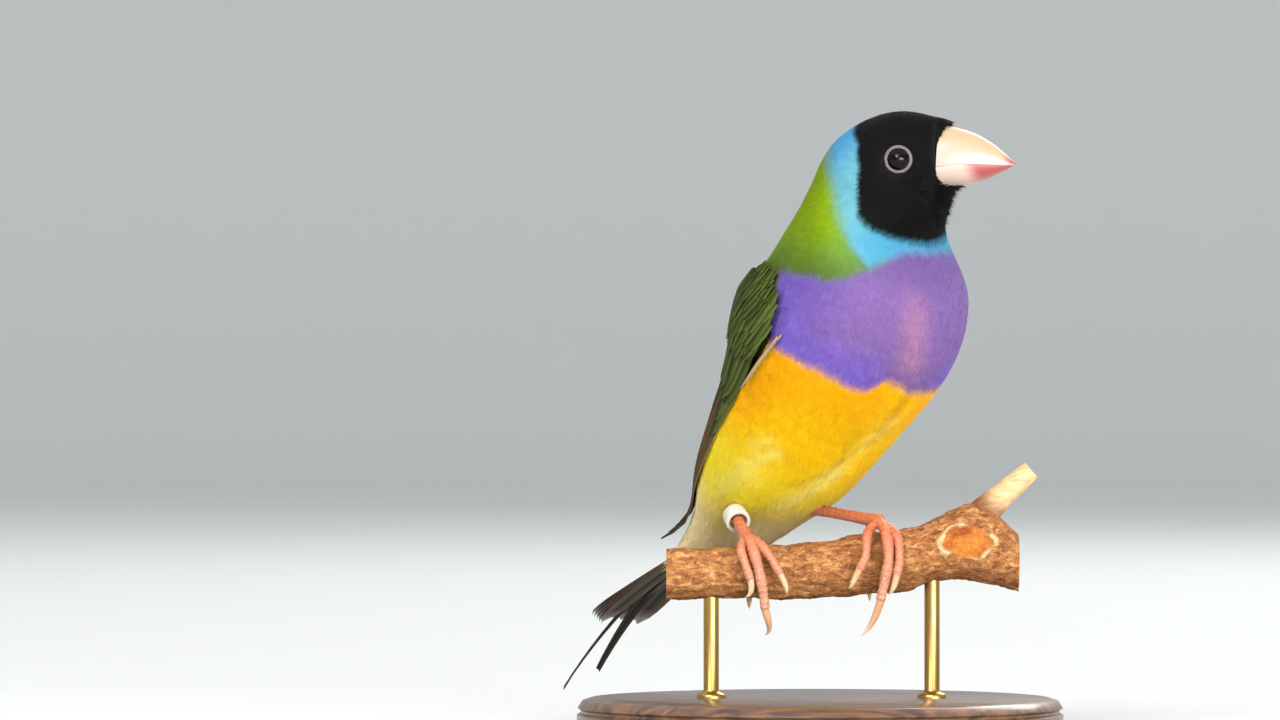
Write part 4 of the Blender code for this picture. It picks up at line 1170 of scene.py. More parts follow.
def make_wing(name, side, colours):
    """A folded wing: small coverts over greater coverts, tertials, secondaries and primaries."""
    draw = np.random.default_rng(SEED + WING_SEED + side)
    surface = wing_surface(side)
    # Flight feathers: stiffer, dry keratin, with clear lines of barbs from a raised shaft.
    keratin = feather_material("Flight feather keratin", 0.7, 0.42, 0.0, 1.0, 0.07)
    vane, faces = flight_vane((-1.0, -0.86, -0.5, -0.06, 0.0, 0.06, 0.5, 0.86, 1.0), 12)
    x, y, z = vane.T[:, None]
    tiers = []
    for tier, count, first, last, half, low, high, pointed in WING_TIERS:
        share = np.linspace(0, 1, count)[:, None]
        roots, tips = (np.array(first[k]) * (1 - share) + np.array(last[k]) * share for k in (0, 1))
        tips[:, 0] += draw.uniform(-0.4, 0.4, count)
        # Each feather of a tier lies a little under the one above it.
        step = TIER_STEP * np.arange(count) / count
        tiers.append((tier, roots, tips, half, low - step, high - step, pointed))
    roots, tips = wing_rows(draw)
    lift = np.interp(roots[:, 0], *COVERT_LIFT)
    half = draw.uniform(*COVERT_HALVES, len(roots))
    tiers.append(("covert", roots, tips, half, lift - 0.3, lift + 0.15, 0.3))
    nodes = ["wing_" + name]
    for tier, roots, tips, half, low, high, pointed in tiers:
        small, count = tier == "covert", len(roots)
        to_radians = (1, math.radians(1))
        flock = Feathers(
            surface, roots * to_radians, tips * to_radians, half, low, high, pointed, 0.22, tilt=0.2
        )
        across = x * flock.half * vane_outline(y, flock.pointed)
        share = np.broadcast_to(y, across.shape)
        shaft = SHAFT_HEIGHT * (np.abs(x) < ON_SHAFT) * (1 - 0.6 * share)
        points = flock.place(across, share, z * WING_VANE_THICK + shaft)
        shade = 1 - soft(*WING_SHADE_REACH, roots[:, :1]) * np.array(WING_SHADE)
        tone = shade * (1 + draw.uniform(-0.28, 0.28, (count, 1)))
        depth = draw.uniform(0.05, 0.95, (count, 1)) if small else 0.8
        marks = wing_colours(colours, tier, np.broadcast_to(x, across.shape), share, tone, depth)
        around = flock.roots * (-1, side) + (UNWRAP_WRIST, 0)
        facing = flock.facing(share, draw.normal(0, 0.12, (count, 1, 3))) if small else None
        strands = np.stack([across, share * flock.length], -1)
        patch = tuft_patch(around, x, share)
        piece = strewn(f"wing_{name}_{tier}", points, faces, marks, patch, strands, keratin, facing)
        finish_piece(piece, "wing_feathers", *nodes)
        nodes = []


def tail_directions():
    """The middle of the tail's root with its directions right, away from the body and up."""
    centre, right, _, ahead, *_ = body_frame(along("tail_root"))
    rise = math.radians(TAIL_PITCH)
    away = -(unit(ahead * (1, 1, 0)) * math.cos(rise) + np.array([0, 0, math.sin(rise)]))
    return centre, right, away, np.cross(right, -away)


def make_tail(colours):
    """Twelve tail feathers in a closed fan, the middle pair drawn out to pins."""
    draw = np.random.default_rng(SEED + TAIL_SEED)
    centre, right, away, lift_way = tail_directions()
    # Tail feathers: like those of the wing, and a little glossier where they are dark.
    keratin = feather_material("Tail feather keratin", 0.58, 0.42, 0.03, 1.0, 0.16)
    vane, faces = flight_vane((-1.0, -0.8, -0.06, 0.0, 0.06, 0.8, 1.0), 14)
    x, s, z = vane.T
    points, marks, strands = [], [], []
    for pair in range(6):
        pins = pair == 0
        half, pointed = (PIN_HALF, 0.9) if pins else (TAIL_HALF, 0.0)
        droop = lift_way * (PIN_DROOP if pins else 0.5 * pair)
        web, tip = (0.2, 0.0) if pins else (0.8, 0.85)
        width = x * half * vane_outline(s, pointed)
        for side in (1, -1):
            length = PIN_LENGTH if pins else TAIL_LENGTH - TAIL_STEP * pair
            length -= PIN_WEAR if pins and side < 0 else 0
            # The fan opens a little from root to tip, and each pair lies under the one inside it.
            root = centre + away * TAIL_START + lift_way * TAIL_LAYER * (2.8 - pair)
            root = root + right * (side * TAIL_ROOTS_APART * (pair + 0.7))
            run = away * (length - TAIL_START) + right * (side * TAIL_SPREAD * (pair + 0.8))
            spot = root + run * s[:, None] - droop * (s**2)[:, None] + right * width[:, None]
            shaft = SHAFT_HEIGHT_TAIL * (np.abs(x) < ON_SHAFT) * (1 - 0.6 * s)
            bend = -side * 0.3 * x + 0.25 * (1 - x**2) + z * TAIL_VANE_THICK + shaft
            points.append(spot + lift_way * bend[:, None])
            base = blend(colours.tail_dark, colours.tail_brown, soft(0.1, 0.8, np.abs(x)) * web)
            tone = draw.uniform(0.88, 1.1)
            marks.append(blend(base, colours.tail_tip, tip * soft(0.9, 1.0, s)) * tone)
            strands.append(np.stack([width, s * length], -1))
    roots = np.stack([np.linspace(2, 9, 12), np.linspace(-0.8, 0.8, 12)], -1)
    patch = tuft_patch(roots, x[None, :], np.broadcast_to(s, (12, len(s))))
    shapes = (np.array(points), faces, np.array(marks), patch, np.array(strands))
    finish_piece(strewn("tail_feathers", *shapes, keratin), "tail_feathers", "tail")


def make_bill(colours):
    """The two halves of the horny bill, with nostrils at the base of the upper one painted as dark shade."""
    # Keratin horn, grown in layers and worn smooth: waxy, a little see-through, faint growth lines.
    material, tree = new_material(
        "Bill horn",
        0.34,
        Subsurface_Weight=0.12,
        Subsurface_Scale=0.8 * MM,
        Coat_Weight=0.25,
        Coat_Roughness=0.25,
    )
    marks = add_node(tree, "Attribute", attribute_name="Marking")
    place = add_node(tree, "TexCoord").outputs["Object"]
    grain = add_node(tree, "TexNoise", {"Vector": place, "Scale": 1 / (0.9 * MM), "Detail": 3.0})
    dress(material, marks, grain, 0.05, 0.5)
    face, right, up, ahead = face_frame()
    pitch = math.radians(BILL_PITCH)
    forward = ahead * math.cos(pitch) + up * math.sin(pitch)
    rising = up * math.cos(pitch) - ahead * math.sin(pitch)
    shares, *steps = np.array(BILL_STEPS).T
    start = face + ahead * 0.3 - rising * MOUTH_BELOW_FACE
    arch = np.linspace(0, math.pi, BILL_ARCH)
    for name, way, length, tall in (
        ("bill_upper", 1, BILL_LENGTH, steps[0]),
        ("bill_lower", -1, BILL_LENGTH - LOWER_BILL_SHORTER, steps[1]),
    ):
        rings = []
        for share in 1 - (1 - np.linspace(0, 1, BILL_RINGS)) ** 1.25:
            high, wide = (float(smooth_curve(shares, sizes, share)) for sizes in (tall, steps[2]))
            middle = start + forward * (length * share) + rising * (way * MOUTH_GAP)
            # The mouth line bends down a little towards the corner of the gape.
            corner = -0.5 * (1 - soft(0.0, 0.3, share)) * (1 - np.sin(arch))
            rise = way * high * np.sin(arch) ** 0.85 + corner
            out = np.cos(arch) * wide
            rings.append(middle + out[:, None] * right + rise[:, None] * rising)
        made = new_piece(name + "_horn", loft(rings), material, sharp=50)
        off = vertices(made) - start
        share = (off @ forward) / length
        height = (off @ rising) / np.interp(share, shares, tall)
        if way > 0:
            tint = blend(colours.bill_ivory, colours.bill_warm, soft(0.2, 0.85, height) * 0.8)
            pink = (1 - soft(0.0, 0.35, height)) * soft(0.1, 0.5, share) * 0.4
            tint = blend(tint, colours.bill_pink, pink)
            tint = blend(tint, colours.bill_red, soft(0.8, 0.97, share) * 0.9)
            # Painted shade stands in for the nostril openings: a dark patch on each side of the upper bill.
            nostril = face + ahead * NOSTRIL_PLACE[0] + up * NOSTRIL_PLACE[1] - start
            beside = off - nostril
            near = np.linalg.norm(beside - (beside @ right)[:, None] * right, axis=-1)
            hole = 0.8 * (1 - soft(0.1, 0.4, near)) * (np.abs(off @ right) > 1.5)
            tint = blend(tint, colours.nostril, hole)
        else:
            tint = blend(colours.bill_ivory, colours.bill_pink, 0.15 + 0.4 * soft(0.1, 0.5, share))
            red = soft(0.3, 0.55, share + 0.1 * height) * (1 - 0.3 * soft(0.6, 1.0, -height)) * 0.9
            tint = blend(tint, colours.bill_red, red)
        paint(made, tint)
        finish_piece(made, "horn", name)


def make_eyes(colours):
    """The eyes with their dark irises, each in a ring of bare skin."""
    # A wet cornea over a dark iris: black glass to look at, with one sharp reflection.
    wet, tree = new_material("Wet eye", 0.06, Specular_IOR_Level=0.22)
    marks = add_node(tree, "Attribute", attribute_name="Marking")
    tree.links.new(marks.outputs["Color"], tree.nodes["Principled BSDF"].inputs["Base Color"])
    # Bare skin round the eye, beaded in grains of about a quarter of a millimetre, each bead darkened
    # towards its edge by painted shade.
    bare, tree = new_material(
        "Bare eyelid skin", 0.55, Subsurface_Weight=0.1, Subsurface_Scale=0.4 * MM
    )
    place = add_node(tree, "TexCoord").outputs["Object"]
    beads = add_node(tree, "TexVoronoi", {"Vector": place, "Scale": 1 / (0.28 * MM)})
    greys = {SHARE: beads, FIRST: colours.lid_grey, SECOND: colours.lid_bead_shade}
    grey = add_node(tree, "Mix", greys, data_type="RGBA")
    dress(bare, grey.outputs[MIXED], beads, -0.08, 0.8)
    for name in ("right", "left"):
        middle, outward = eye_middle(name), eye_axis(name)
        shape = bmesh.new()
        bmesh.ops.create_uvsphere(
            shape, u_segments=EYE_SIDES, v_segments=EYE_RINGS, radius=EYE_RADIUS
        )
        for vert in shape.verts:
            # The cornea stands a little proud of the ball.
            rise = float(soft(1.7, 0.0, math.hypot(vert.co.x, vert.co.y)))
            vert.co.z += CORNEA_RISE * rise * (vert.co.z > 0)
        eye = new_piece("eye_ball_" + name, set_at(shape, middle, outward), wet)
        points = vertices(eye) - middle
        off = np.linalg.norm(points - (points @ outward)[:, None] * outward, axis=-1)
        tint = blend(colours.pupil, colours.iris, soft(*PUPIL_EDGE, off))
        paint(eye, blend(tint, colours.pupil, soft(*IRIS_EDGE, off)))
        finish_piece(eye, "eye", "eye_" + name)
        turns = [FULL_TURN * i / LID_SIDES for i in range(LID_SIDES)]
        round_lid = [
            (LID_RADIUS + LID_HALF * math.cos(turn), LID_HALF * 0.9 * math.sin(turn)) for turn in turns
        ]
        lid = set_at(spun(round_lid, BAND_SIDES, closed=True), middle + outward * LID_OUT, outward)
        finish_piece(new_piece("eyelid_" + name, lid, bare), "leg_skin")


def bend_through(points, count):
    """Evenly spread points on a smooth curve through a few, in mm."""
    points = np.array(points, float)
    steps = np.linalg.norm(np.diff(points, axis=0), axis=1)
    places = np.concatenate([[0], np.cumsum(steps)])
    return smooth_curve(places, points, np.linspace(0, places[-1], count))


def tube(line, radii, sides, front=(0.3, -0.9, 0.2), scute=0.0, scute_length=0.8):
    """A round limb along a line, with overlapping scutes along its front."""
    rings = []
    turned = np.array(front)
    steps = np.gradient(line, axis=0)
    run = np.concatenate([[0], np.cumsum(np.linalg.norm(np.diff(line, axis=0), axis=1))])
    angles = np.linspace(0, FULL_TURN, sides, endpoint=False)
    for point, way, radius, place in zip(line, unit(steps), radii, run):
        turned = unit(turned - way * (turned @ way))
        ridge = (place / scute_length) % 1.0
        shell = radius * (1 + scute * (ridge**2 - 0.3) * soft(-0.4, 0.5, np.cos(angles)))
        fore, aside = (np.cos(angles) * shell)[:, None], (np.sin(angles) * shell)[:, None]
        rings.append(point + fore * turned + aside * np.cross(way, turned))
    return loft(rings)


def leg_material(colours):
    """Scaly leg skin: coral with paler patches, darker in the creases between the scales by painted shade,
    with a dry soft shine.
    """
    material, tree = new_material(
        "Scaly leg skin", 0.48, Subsurface_Weight=0.15, Subsurface_Scale=0.6 * MM
    )
    place = add_node(tree, "TexCoord").outputs["Object"]
    patches = add_node(tree, "TexNoise", {"Vector": place, "Scale": 1 / (2.2 * MM), "Detail": 3.0})
    scales = add_node(
        tree, "TexVoronoi", {"Vector": place, "Scale": 1 / (0.5 * MM)}, feature="DISTANCE_TO_EDGE"
    )
    # The creases between the scales are about 0.06 mm wide, and painted darker as shade.
    crease = {VALUE: scales, FROM_LOW: 0.0, FROM_HIGH: 0.12, TO_LOW: 0.3, TO_HIGH: 1.0}
    edge = add_node(tree, "MapRange", crease)
    corals = {SHARE: patches, FIRST: colours.leg_coral, SECOND: colours.leg_pale}
    coral = add_node(tree, "Mix", corals, data_type="RGBA").outputs[MIXED]
    # The toes are paler and dustier towards their claws.
    height = add_node(tree, "SeparateXYZ", {0: place}).outputs[2]
    fall = {VALUE: height, FROM_LOW: DUST_TOP, FROM_HIGH: DUST_FOOT, TO_LOW: 0.0, TO_HIGH: 0.8}
    low = add_node(tree, "MapRange", fall)
    dusts = {SHARE: low, FIRST: coral, SECOND: colours.toe_dust}
    dusty = add_node(tree, "Mix", dusts, data_type="RGBA").outputs[MIXED]
    # Painted shade in the creases between the scales.
    creases = {SHARE: edge, FIRST: colours.leg_crease_shade, SECOND: dusty}
    skin = add_node(tree, "Mix", creases, data_type="RGBA").outputs[MIXED]
    return dress(material, skin, edge, 0.05, 0.7)


def make_legs(colours):
    """The bare legs and toes with their scutes."""
    material = leg_material(colours)
    for name, plan in LEGS.items():
        ankle, knuckle = np.array(plan["ankle"]), np.array(plan["knuckle"])
        way = unit(knuckle - ankle)
        line = bend_through([ankle - way * 2, (ankle + knuckle) / 2, knuckle + way * 0.5], SHIN_RINGS)
        sizes = smooth_curve(*SHIN_SIZES, np.linspace(0, 1, SHIN_RINGS)) * TARSUS_RADIUS
        shin = tube(line, sizes, SHIN_SIDES, front=(0.2, -0.6, 0.8), scute=0.16, scute_length=1.5)
        finish_piece(new_piece("shin_" + name, shin, material, sharp=70), "leg_skin", "leg_" + name)
        for toe, points in plan["toes"].items():
            line = bend_through([knuckle, *points], TOE_RINGS)
            share = np.linspace(0, 1, TOE_RINGS)
            swellings = MIDDLE_SWELLINGS if toe == "middle" else TOE_SWELLINGS
            joints = TOE_SWELL * np.cos(share * FULL_TURN * swellings)
            sizes = TOE_RADII[toe] * (0.96 + joints) * (1 - 0.2 * share)
            sizes = sizes * (1 - 0.35 * soft(0.95, 1.0, share))
            shape = tube(
                line, sizes, TOE_SIDES, front=(0.1, -1.0, 0.3), scute=0.15, scute_length=0.95
            )
            finish_piece(new_piece(f"toe_{name}_{toe}", shape, material, sharp=70), "leg_skin")


def make_claws(colours):
    """The eight curved claws."""
    # Horn thins towards its tip, so the base is darker and the tip is clear and pale.
    material, tree = new_material(
        "Claw horn", 0.3, Subsurface_Weight=0.2, Subsurface_Scale=0.5 * MM
    )
    marks = add_node(tree, "Attribute", attribute_name="Marking")
    place = add_node(tree, "TexCoord").outputs["Object"]
    grain = add_node(tree, "TexNoise", {"Vector": place, "Scale": 1 / (0.5 * MM)})
    dress(material, marks, grain, 0.03, 0.5)
    for name, plan in LEGS.items():
        for toe, points in plan["claws"].items():
            end, claw = np.array(plan["toes"][toe][-1]), np.array(points)
            root = end - unit(claw[0] - end) * CLAW_ROOT
            line = bend_through([root, *claw], CLAW_RINGS)
            sizes = TOE_RADII[toe] * CLAW_SHARE * np.interp(np.linspace(0, 1, CLAW_RINGS), *CLAW_SIZES)
            shape = tube(line, sizes, CLAW_SIDES)
            made = new_piece(f"claw_horn_{name}_{toe}", shape, material, sharp=60)
            off = np.linalg.norm(vertices(made) - claw[-1], axis=-1)
            paint(made, blend(colours.claw_pale, colours.claw_horn, soft(*CLAW_CLEAR, off)))
            finish_piece(made, "claw_horn", f"claw_{name}_{toe}")


def make_leg_ring(colours):
    """The plain closed band round the right leg."""
    # Moulded plastic, smooth and white, with the faint scuffs of wear.
    material, tree = new_material(
        "Moulded plastic band", 0.32, Subsurface_Weight=0.08, Subsurface_Scale=0.5 * MM
    )
    place = add_node(tree, "TexCoord").outputs["Object"]
    scuff = add_node(tree, "TexNoise", {"Vector": place, "Scale": 1 / (0.7 * MM), "Detail": 5.0})
    whites = {SHARE: scuff, FIRST: colours.ring_white, SECOND: colours.ring_worn}
    white = add_node(tree, "Mix", whites, data_type="RGBA").outputs[MIXED]
    dress(material, white, scuff, 0.02, 0.5)
    ankle, knuckle = (Vector(LEGS["right"][key]) for key in ("ankle", "knuckle"))
    half = RING_LENGTH / 2
    corners = ((RING_INNER, -half), (RING_OUTER, -half), (RING_OUTER, half), (RING_INNER, half))
    shape = spun(corners, BAND_SIDES, closed=True)
    rims = [edge for edge in shape.edges if edge.calc_face_angle(0) > 1]
    bmesh.ops.bevel(
        shape, geom=rims, offset=RING_BEVEL, segments=3, profile=0.5, affect="EDGES", material=-1
    )
    band = set_at(shape, ankle.lerp(knuckle, RING_PLACE), knuckle - ankle)
    finish_piece(new_piece("ring_band", band, material), "band", "leg_ring")


def perch_spot(x, turn, lift=0.0):
    """A point on the bark of the solid branch in mm, turned from the top towards the front."""
    places, heights, radii = zip(*PERCH_STATIONS)
    height, radius = (float(smooth_curve(places, sizes, x)) for sizes in (heights, radii))
    spot = Vector((x * 0.18, math.sin(turn) * 1.3, math.cos(turn) * 1.3))
    radius += noise.noise(spot) * PERCH_ROUGH * 2 - PERCH_ROUGH + lift
    return Vector((x, -math.sin(turn) * radius, height + math.cos(turn) * radius))


def bark_flakes(x, turn):
    """How far the bark's flakes and cracks stand off the solid branch, in mm."""
    y, z = math.sin(turn) * BARK_GIRTH, math.cos(turn) * BARK_GIRTH
    ridge = noise.noise(Vector((x * 0.35, y * 0.9, z * 0.9)))
    flake = noise.turbulence(Vector((x * 0.8, y * 0.7 + 9, z * 0.7)), 3, True)
    fine = noise.noise(Vector((x * 2.6, y * 2.2, z * 2.2 + 4)))
    return 0.22 * ridge + 0.36 * abs(flake - 0.45) + 0.1 * fine - 0.12


def scar_share(x, turn):
    """How far a place lies from the middle of the knot's scar, as a share of the scar's size."""
    if math.sin(turn) < 0.1:
        return 9.0
    height = perch_spot(x, turn).z
    wander = noise.noise(Vector((x * 0.5, 3.0, height * 0.6))) * 0.25
    return math.hypot((x - SCAR[0]) / SCAR[2], (height - SCAR[1]) / SCAR[3]) + wander


def ramp_stops(ramp, *stops):
    """Sets a colour ramp's stops, each a position and a colour, the first two from those it has."""
    elements = ramp.color_ramp.elements
    for index, (position, shade) in enumerate(stops):
        stop = elements[index] if index < 2 else elements.new(position)
        stop.position, stop.color = position, (*shade, 1)


def bark_material(colours):
    """Dry flaking bark: tan flakes over red-brown along the branch, and the scar of a lost twig."""
    material, tree = new_material("Flaking bark", 0.88, Specular_IOR_Level=0.25)
    place = add_node(tree, "TexCoord").outputs["Object"]
    along_branch = add_node(tree, "Mapping", {"Vector": place, "Scale": (0.55, 1.0, 1.0)})
    flakes = {"Scale": 1 / (1.0 * MM), "Detail": 8.0, "Roughness": 0.62, "Distortion": 0.9}
    plates = add_node(tree, "TexNoise", {"Vector": along_branch, **flakes})
    cells = {"Vector": along_branch, "Scale": 1 / (1.3 * MM)}
    cracks = add_node(tree, "TexVoronoi", cells, feature="DISTANCE_TO_EDGE")
    specks = add_node(tree, "TexNoise", {"Vector": place, "Scale": 1 / (0.35 * MM), "Detail": 3.0})
    tone = add_node(tree, "ValToRGB", {0: plates})
    ramp_stops(
        tone,
        (0.3, colours.bark_dark),
        (0.68, colours.bark_light),
        (0.42, colours.bark_brown),
        (0.55, colours.bark_tan),
    )
    crack = {VALUE: cracks, FROM_LOW: 0.0, FROM_HIGH: 0.08, TO_LOW: 0.8, TO_HIGH: 1.0}
    gap = add_node(tree, "MapRange", crack)
    speck = {VALUE: specks, FROM_LOW: 0.3, FROM_HIGH: 0.7, TO_LOW: 0.8, TO_HIGH: 1.2}
    fleck = add_node(tree, "MapRange", speck)
    shade = add_node(tree, "Math", {0: gap, 1: fleck}, operation="MULTIPLY")
    # The marking says where the scar's middle and its rim of bare wood are.
    marks = add_node(tree, "Attribute", attribute_name="Marking")
    middle, rim, _ = add_node(tree, "SeparateXYZ", {0: marks}).outputs
    rims = {SHARE: rim, FIRST: tone, SECOND: colours.wood_pale}
    bark = add_node(tree, "Mix", rims, data_type="RGBA").outputs[MIXED]
    burl = add_node(tree, "TexNoise", {"Vector": place, "Scale": 1 / (2.2 * MM), "Detail": 3.0})
    inner = add_node(tree, "MapRange", {VALUE: burl, FROM_LOW: 0.4, FROM_HIGH: 0.62})
    gums = {SHARE: inner, FIRST: colours.scar_orange, SECOND: colours.scar_brown}
    gum = add_node(tree, "Mix", gums, data_type="RGBA").outputs[MIXED]
    knots = {SHARE: middle, FIRST: bark, SECOND: gum}
    knot = add_node(tree, "Mix", knots, data_type="RGBA").outputs[MIXED]
    tint = add_node(tree, "VectorMath", {0: knot, 1: shade}, operation="MULTIPLY")
    return dress(material, tint, plates, 0.4, 0.9)


def peeled_wood_material(colours):
    """Dry wood without its bark: silky, pale and streaked along the grain."""
    material, tree = new_material("Peeled dry wood", 0.7, Specular_IOR_Level=0.3)
    marks = add_node(tree, "Attribute", attribute_name="Marking")
    place = add_node(tree, "TexCoord").outputs["Object"]
    # The twig leans 45 degrees up to the right, and its streaks with it.
    lean = {"Vector": place, "Rotation": (0, math.radians(45), 0), "Scale": (0.15, 1.0, 1.0)}
    stretch = add_node(tree, "Mapping", lean)
    grain = add_node(tree, "TexNoise", {"Vector": stretch, "Scale": 1 / (0.5 * MM), "Detail": 5.0})
    streak = {VALUE: grain, FROM_LOW: 0.3, FROM_HIGH: 0.7, TO_LOW: 0.7, TO_HIGH: 1.15}
    shade = add_node(tree, "MapRange", streak)
    tint = add_node(tree, "VectorMath", {0: marks, 1: shade}, operation="MULTIPLY")
    return dress(material, tint, grain, 0.15, 0.8)


def cut_wood_material(colours):
    """Sawn end grain: pale wood with a ring each year about 0.7 mm wide."""
    material, tree = new_material("Sawn end grain", 0.7)
    place = add_node(tree, "TexCoord").outputs["Object"]
    pith = add_node(
        tree, "Mapping", {"Vector": place, "Location": (0, 0, -PITH_HEIGHT)}, vector_type="POINT"
    )
    # A wave texture's ring is 0.314 wide at a scale of one.
    ring = {"Scale": 0.314 / (0.7 * MM), "Distortion": 1.5, "Detail": 2.0, "Detail Scale": 1.0}
    rings = add_node(
        tree, "TexWave", {"Vector": pith, **ring}, wave_type="RINGS", rings_direction="X"
    ).outputs["Fac"]
    woods = {SHARE: rings, FIRST: colours.wood_pale, SECOND: colours.wood_ring}
    wood = add_node(tree, "Mix", woods, data_type="RGBA").outputs[MIXED]
    return dress(material, wood, rings, 0.05, 0.4)


def make_perch(colours):
    """The cut branch with flaking bark and sawn ends."""
    turns = [FULL_TURN * k / BARK_SIDES for k in range(BARK_SIDES)]
    rings, marks = [], []
    for x in np.linspace(PERCH_STATIONS[0][0], PERCH_STATIONS[-1][0], BARK_RINGS):
        scars = np.array([scar_share(x, turn) for turn in turns])
        middle = 1 - soft(0.85, 1.0, scars)
        rim = (1 - middle) * (1 - soft(1.06, 1.3, scars))
        torn = [soft(-0.1, 0.15, noise.noise(Vector((x * 0.45, 7, turn * 2.2)))) for turn in turns]
        rim = rim * np.array(torn)
        lifts = [bark_flakes(x, turn) for turn in turns] + 0.5 * rim - 0.35 * middle
        rings.append([perch_spot(x, turn, lift) for turn, lift in zip(turns, lifts)])
        marks.append(np.stack([middle, rim, 0 * rim], -1))
    shape = loft(rings)
    for face in shape.faces:
        # Only the sawn ends have many corners.
        face.material_index = int(len(face.verts) > 4)
    made = new_piece("perch_bark", shape, bark_material(colours), sharp=60)
    made.data.materials.append(cut_wood_material(colours))
    paint(made, np.concatenate(marks))
    finish_piece(made, "bark", "perch")
    line = bend_through(TWIG_POINTS, TWIG_RINGS)
    run = np.linspace(0, 1, TWIG_RINGS)
    bumps = [0.12 * noise.noise(Vector((share * 9, 0, 5))) for share in run]
    sizes = np.interp(run, (0, 0.55, 1), TWIG_RADII) + bumps
    wood = peeled_wood_material(colours)
    twig = new_piece("perch_twig", tube(line, sizes, TWIG_SIDES), wood, sharp=50)
    whole = line[-1] - line[0]
    share = (vertices(twig) - line[0]) @ whole / (whole @ whole)
    paint(twig, blend(colours.bark_brown, colours.wood_pale, soft(0.3, 0.62, share)))
    finish_piece(twig, "bark")


def make_stand(colours):
    """The turned wooden base with its two brass rods."""
    # Walnut, turned and lacquered: long grain across the disc under a thin satin coat.
    walnut, tree = new_material("Lacquered walnut", 0.42, Coat_Weight=0.5, Coat_Roughness=0.18)
    place = add_node(tree, "TexCoord").outputs["Object"]
    stretch = add_node(tree, "Mapping", {"Vector": place, "Scale": (0.12, 1.0, 1.0)})
    figure = {"Vector": stretch, "Scale": 1 / (2.4 * MM), "Detail": 8.0, "Distortion": 1.2}
    tone = add_node(tree, "ValToRGB", {0: add_node(tree, "TexNoise", figure)})
    ramp_stops(tone, (0.36, colours.stand_dark), (0.64, colours.stand_light))
    pores = add_node(tree, "TexNoise", {"Vector": stretch, "Scale": 1 / (0.5 * MM), "Detail": 3.0})
    dark = {VALUE: pores, FROM_LOW: 0.35, FROM_HIGH: 0.6, TO_LOW: 0.82, TO_HIGH: 1.05}
    shade = add_node(tree, "MapRange", dark)
    tint = add_node(tree, "VectorMath", {0: tone, 1: shade}, operation="MULTIPLY")
    dress(walnut, tint, pores, 0.03, 0.3)
    base = new_piece("base_disc", spun(BASE_PROFILE, BASE_SIDES), walnut, sharp=50)
    finish_piece(base, "stand_wood", "stand_base")

    # Drawn brass rod, its skin brushed along and round by polishing.
    brass, tree = new_material("Brushed brass", 0.32, Metallic=1.0)
    place = add_node(tree, "TexCoord").outputs["Object"]
    stretch = add_node(tree, "Mapping", {"Vector": place, "Scale": (1.0, 1.0, 0.06)})
    lines = add_node(tree, "TexNoise", {"Vector": stretch, "Scale": 1 / (0.15 * MM), "Detail": 2.0})
    golds = {SHARE: lines, FIRST: colours.brass, SECOND: colours.brass_dark}
    gold = add_node(tree, "Mix", golds, data_type="RGBA").outputs[MIXED]
    dress(brass, gold, lines, 0.01, 0.4)
    for name, x in zip(("left", "right"), ROD_PLACES):
        high = perch_spot(x, math.pi).z + ROD_IN_PERCH
        shape = spun((*FOOT_PROFILE, (ROD_RADIUS, high), (0.0, high)), ROD_SIDES)
        bmesh.ops.translate(shape, vec=(x, 0, 0), verts=shape.verts)
        rod = new_piece("rod_" + name, shape, brass, sharp=50)
        finish_piece(rod, "stand_metal", "stand_rod_" + name)


def area_light(name, place, size, power, colour):
    """A soft round light that looks at the bird."""
    light = bpy.data.lights.new(name, "AREA")
    light.energy, light.size, light.color, light.shape = power, size, colour, "DISK"
    made = bpy.data.objects.new(name, light)
    made.location = place
    made.rotation_euler = (Vector(LOOK_AT) - Vector(place)).to_track_quat("-Z", "Y").to_euler()
    bpy.context.scene.collection.objects.link(made)


def make_stage(colours):
    """A pale floor that sweeps up to a wall all round, soft lights and the camera."""
    scene = bpy.context.scene
    # Matt painted board with a faint tooth, about 1.1 mm across.
    board, tree = new_material("Matt painted board", 0.9, Base_Color=(*colours.floor, 1))
    place = add_node(tree, "TexCoord").outputs["Object"]
    tooth = add_node(tree, "TexNoise", {"Vector": place, "Scale": 900.0})
    dress(board, None, tooth, 0.1, 0.1)
    shape = spun(FLOOR_PROFILE, 96)
    bmesh.ops.reverse_faces(shape, faces=shape.faces)
    new_piece("studio_floor", shape, board, sharp=60)
    world = scene.world or bpy.data.worlds.new("Studio")
    scene.world = world
    world.use_nodes = True
    sky = world.node_tree.nodes["Background"]
    sky.inputs["Color"].default_value = (*SKY, 1)
    sky.inputs["Strength"].default_value = 1.0
    for light in LIGHTS:
        area_light(*light)
    camera = bpy.data.cameras.new("camera")
    camera.lens, camera.sensor_width = CAMERA_LENS, CAMERA_SENSOR
    camera.clip_start, camera.clip_end = 0.05, 50
    made = bpy.data.objects.new("camera", camera)
    made.location = CAMERA_PLACE
    made.rotation_euler = (math.pi / 2, 0, 0)
    scene.collection.objects.link(made)
    scene.camera = made
    scene.view_settings.view_transform = "Standard"


def swatch(name, code, note):
    """A colour that the sidebar offers."""
    return bpy.props.FloatVectorProperty(
        name=name, description=note, default=linear(code), subtype="COLOR", size=3, min=0, max=1
    )


class FinchSizes(bpy.types.PropertyGroup):
    """Sizes of the coat"""

    coat_length: bpy.props.FloatProperty(
        name="Feather length", description="Scales each body feather", default=1.0, min=0.5, max=2
    )
    coat_spacing: bpy.props.FloatProperty(
        name="Row spacing",
        description="Distance between rows as a share of a feather's length",
        default=0.27,
        min=0.15,
        max=0.8,
    )
    barbs: bpy.props.IntProperty(
        name="Barbs", description="Loose barbs on each body feather", default=24, min=3, max=40
    )


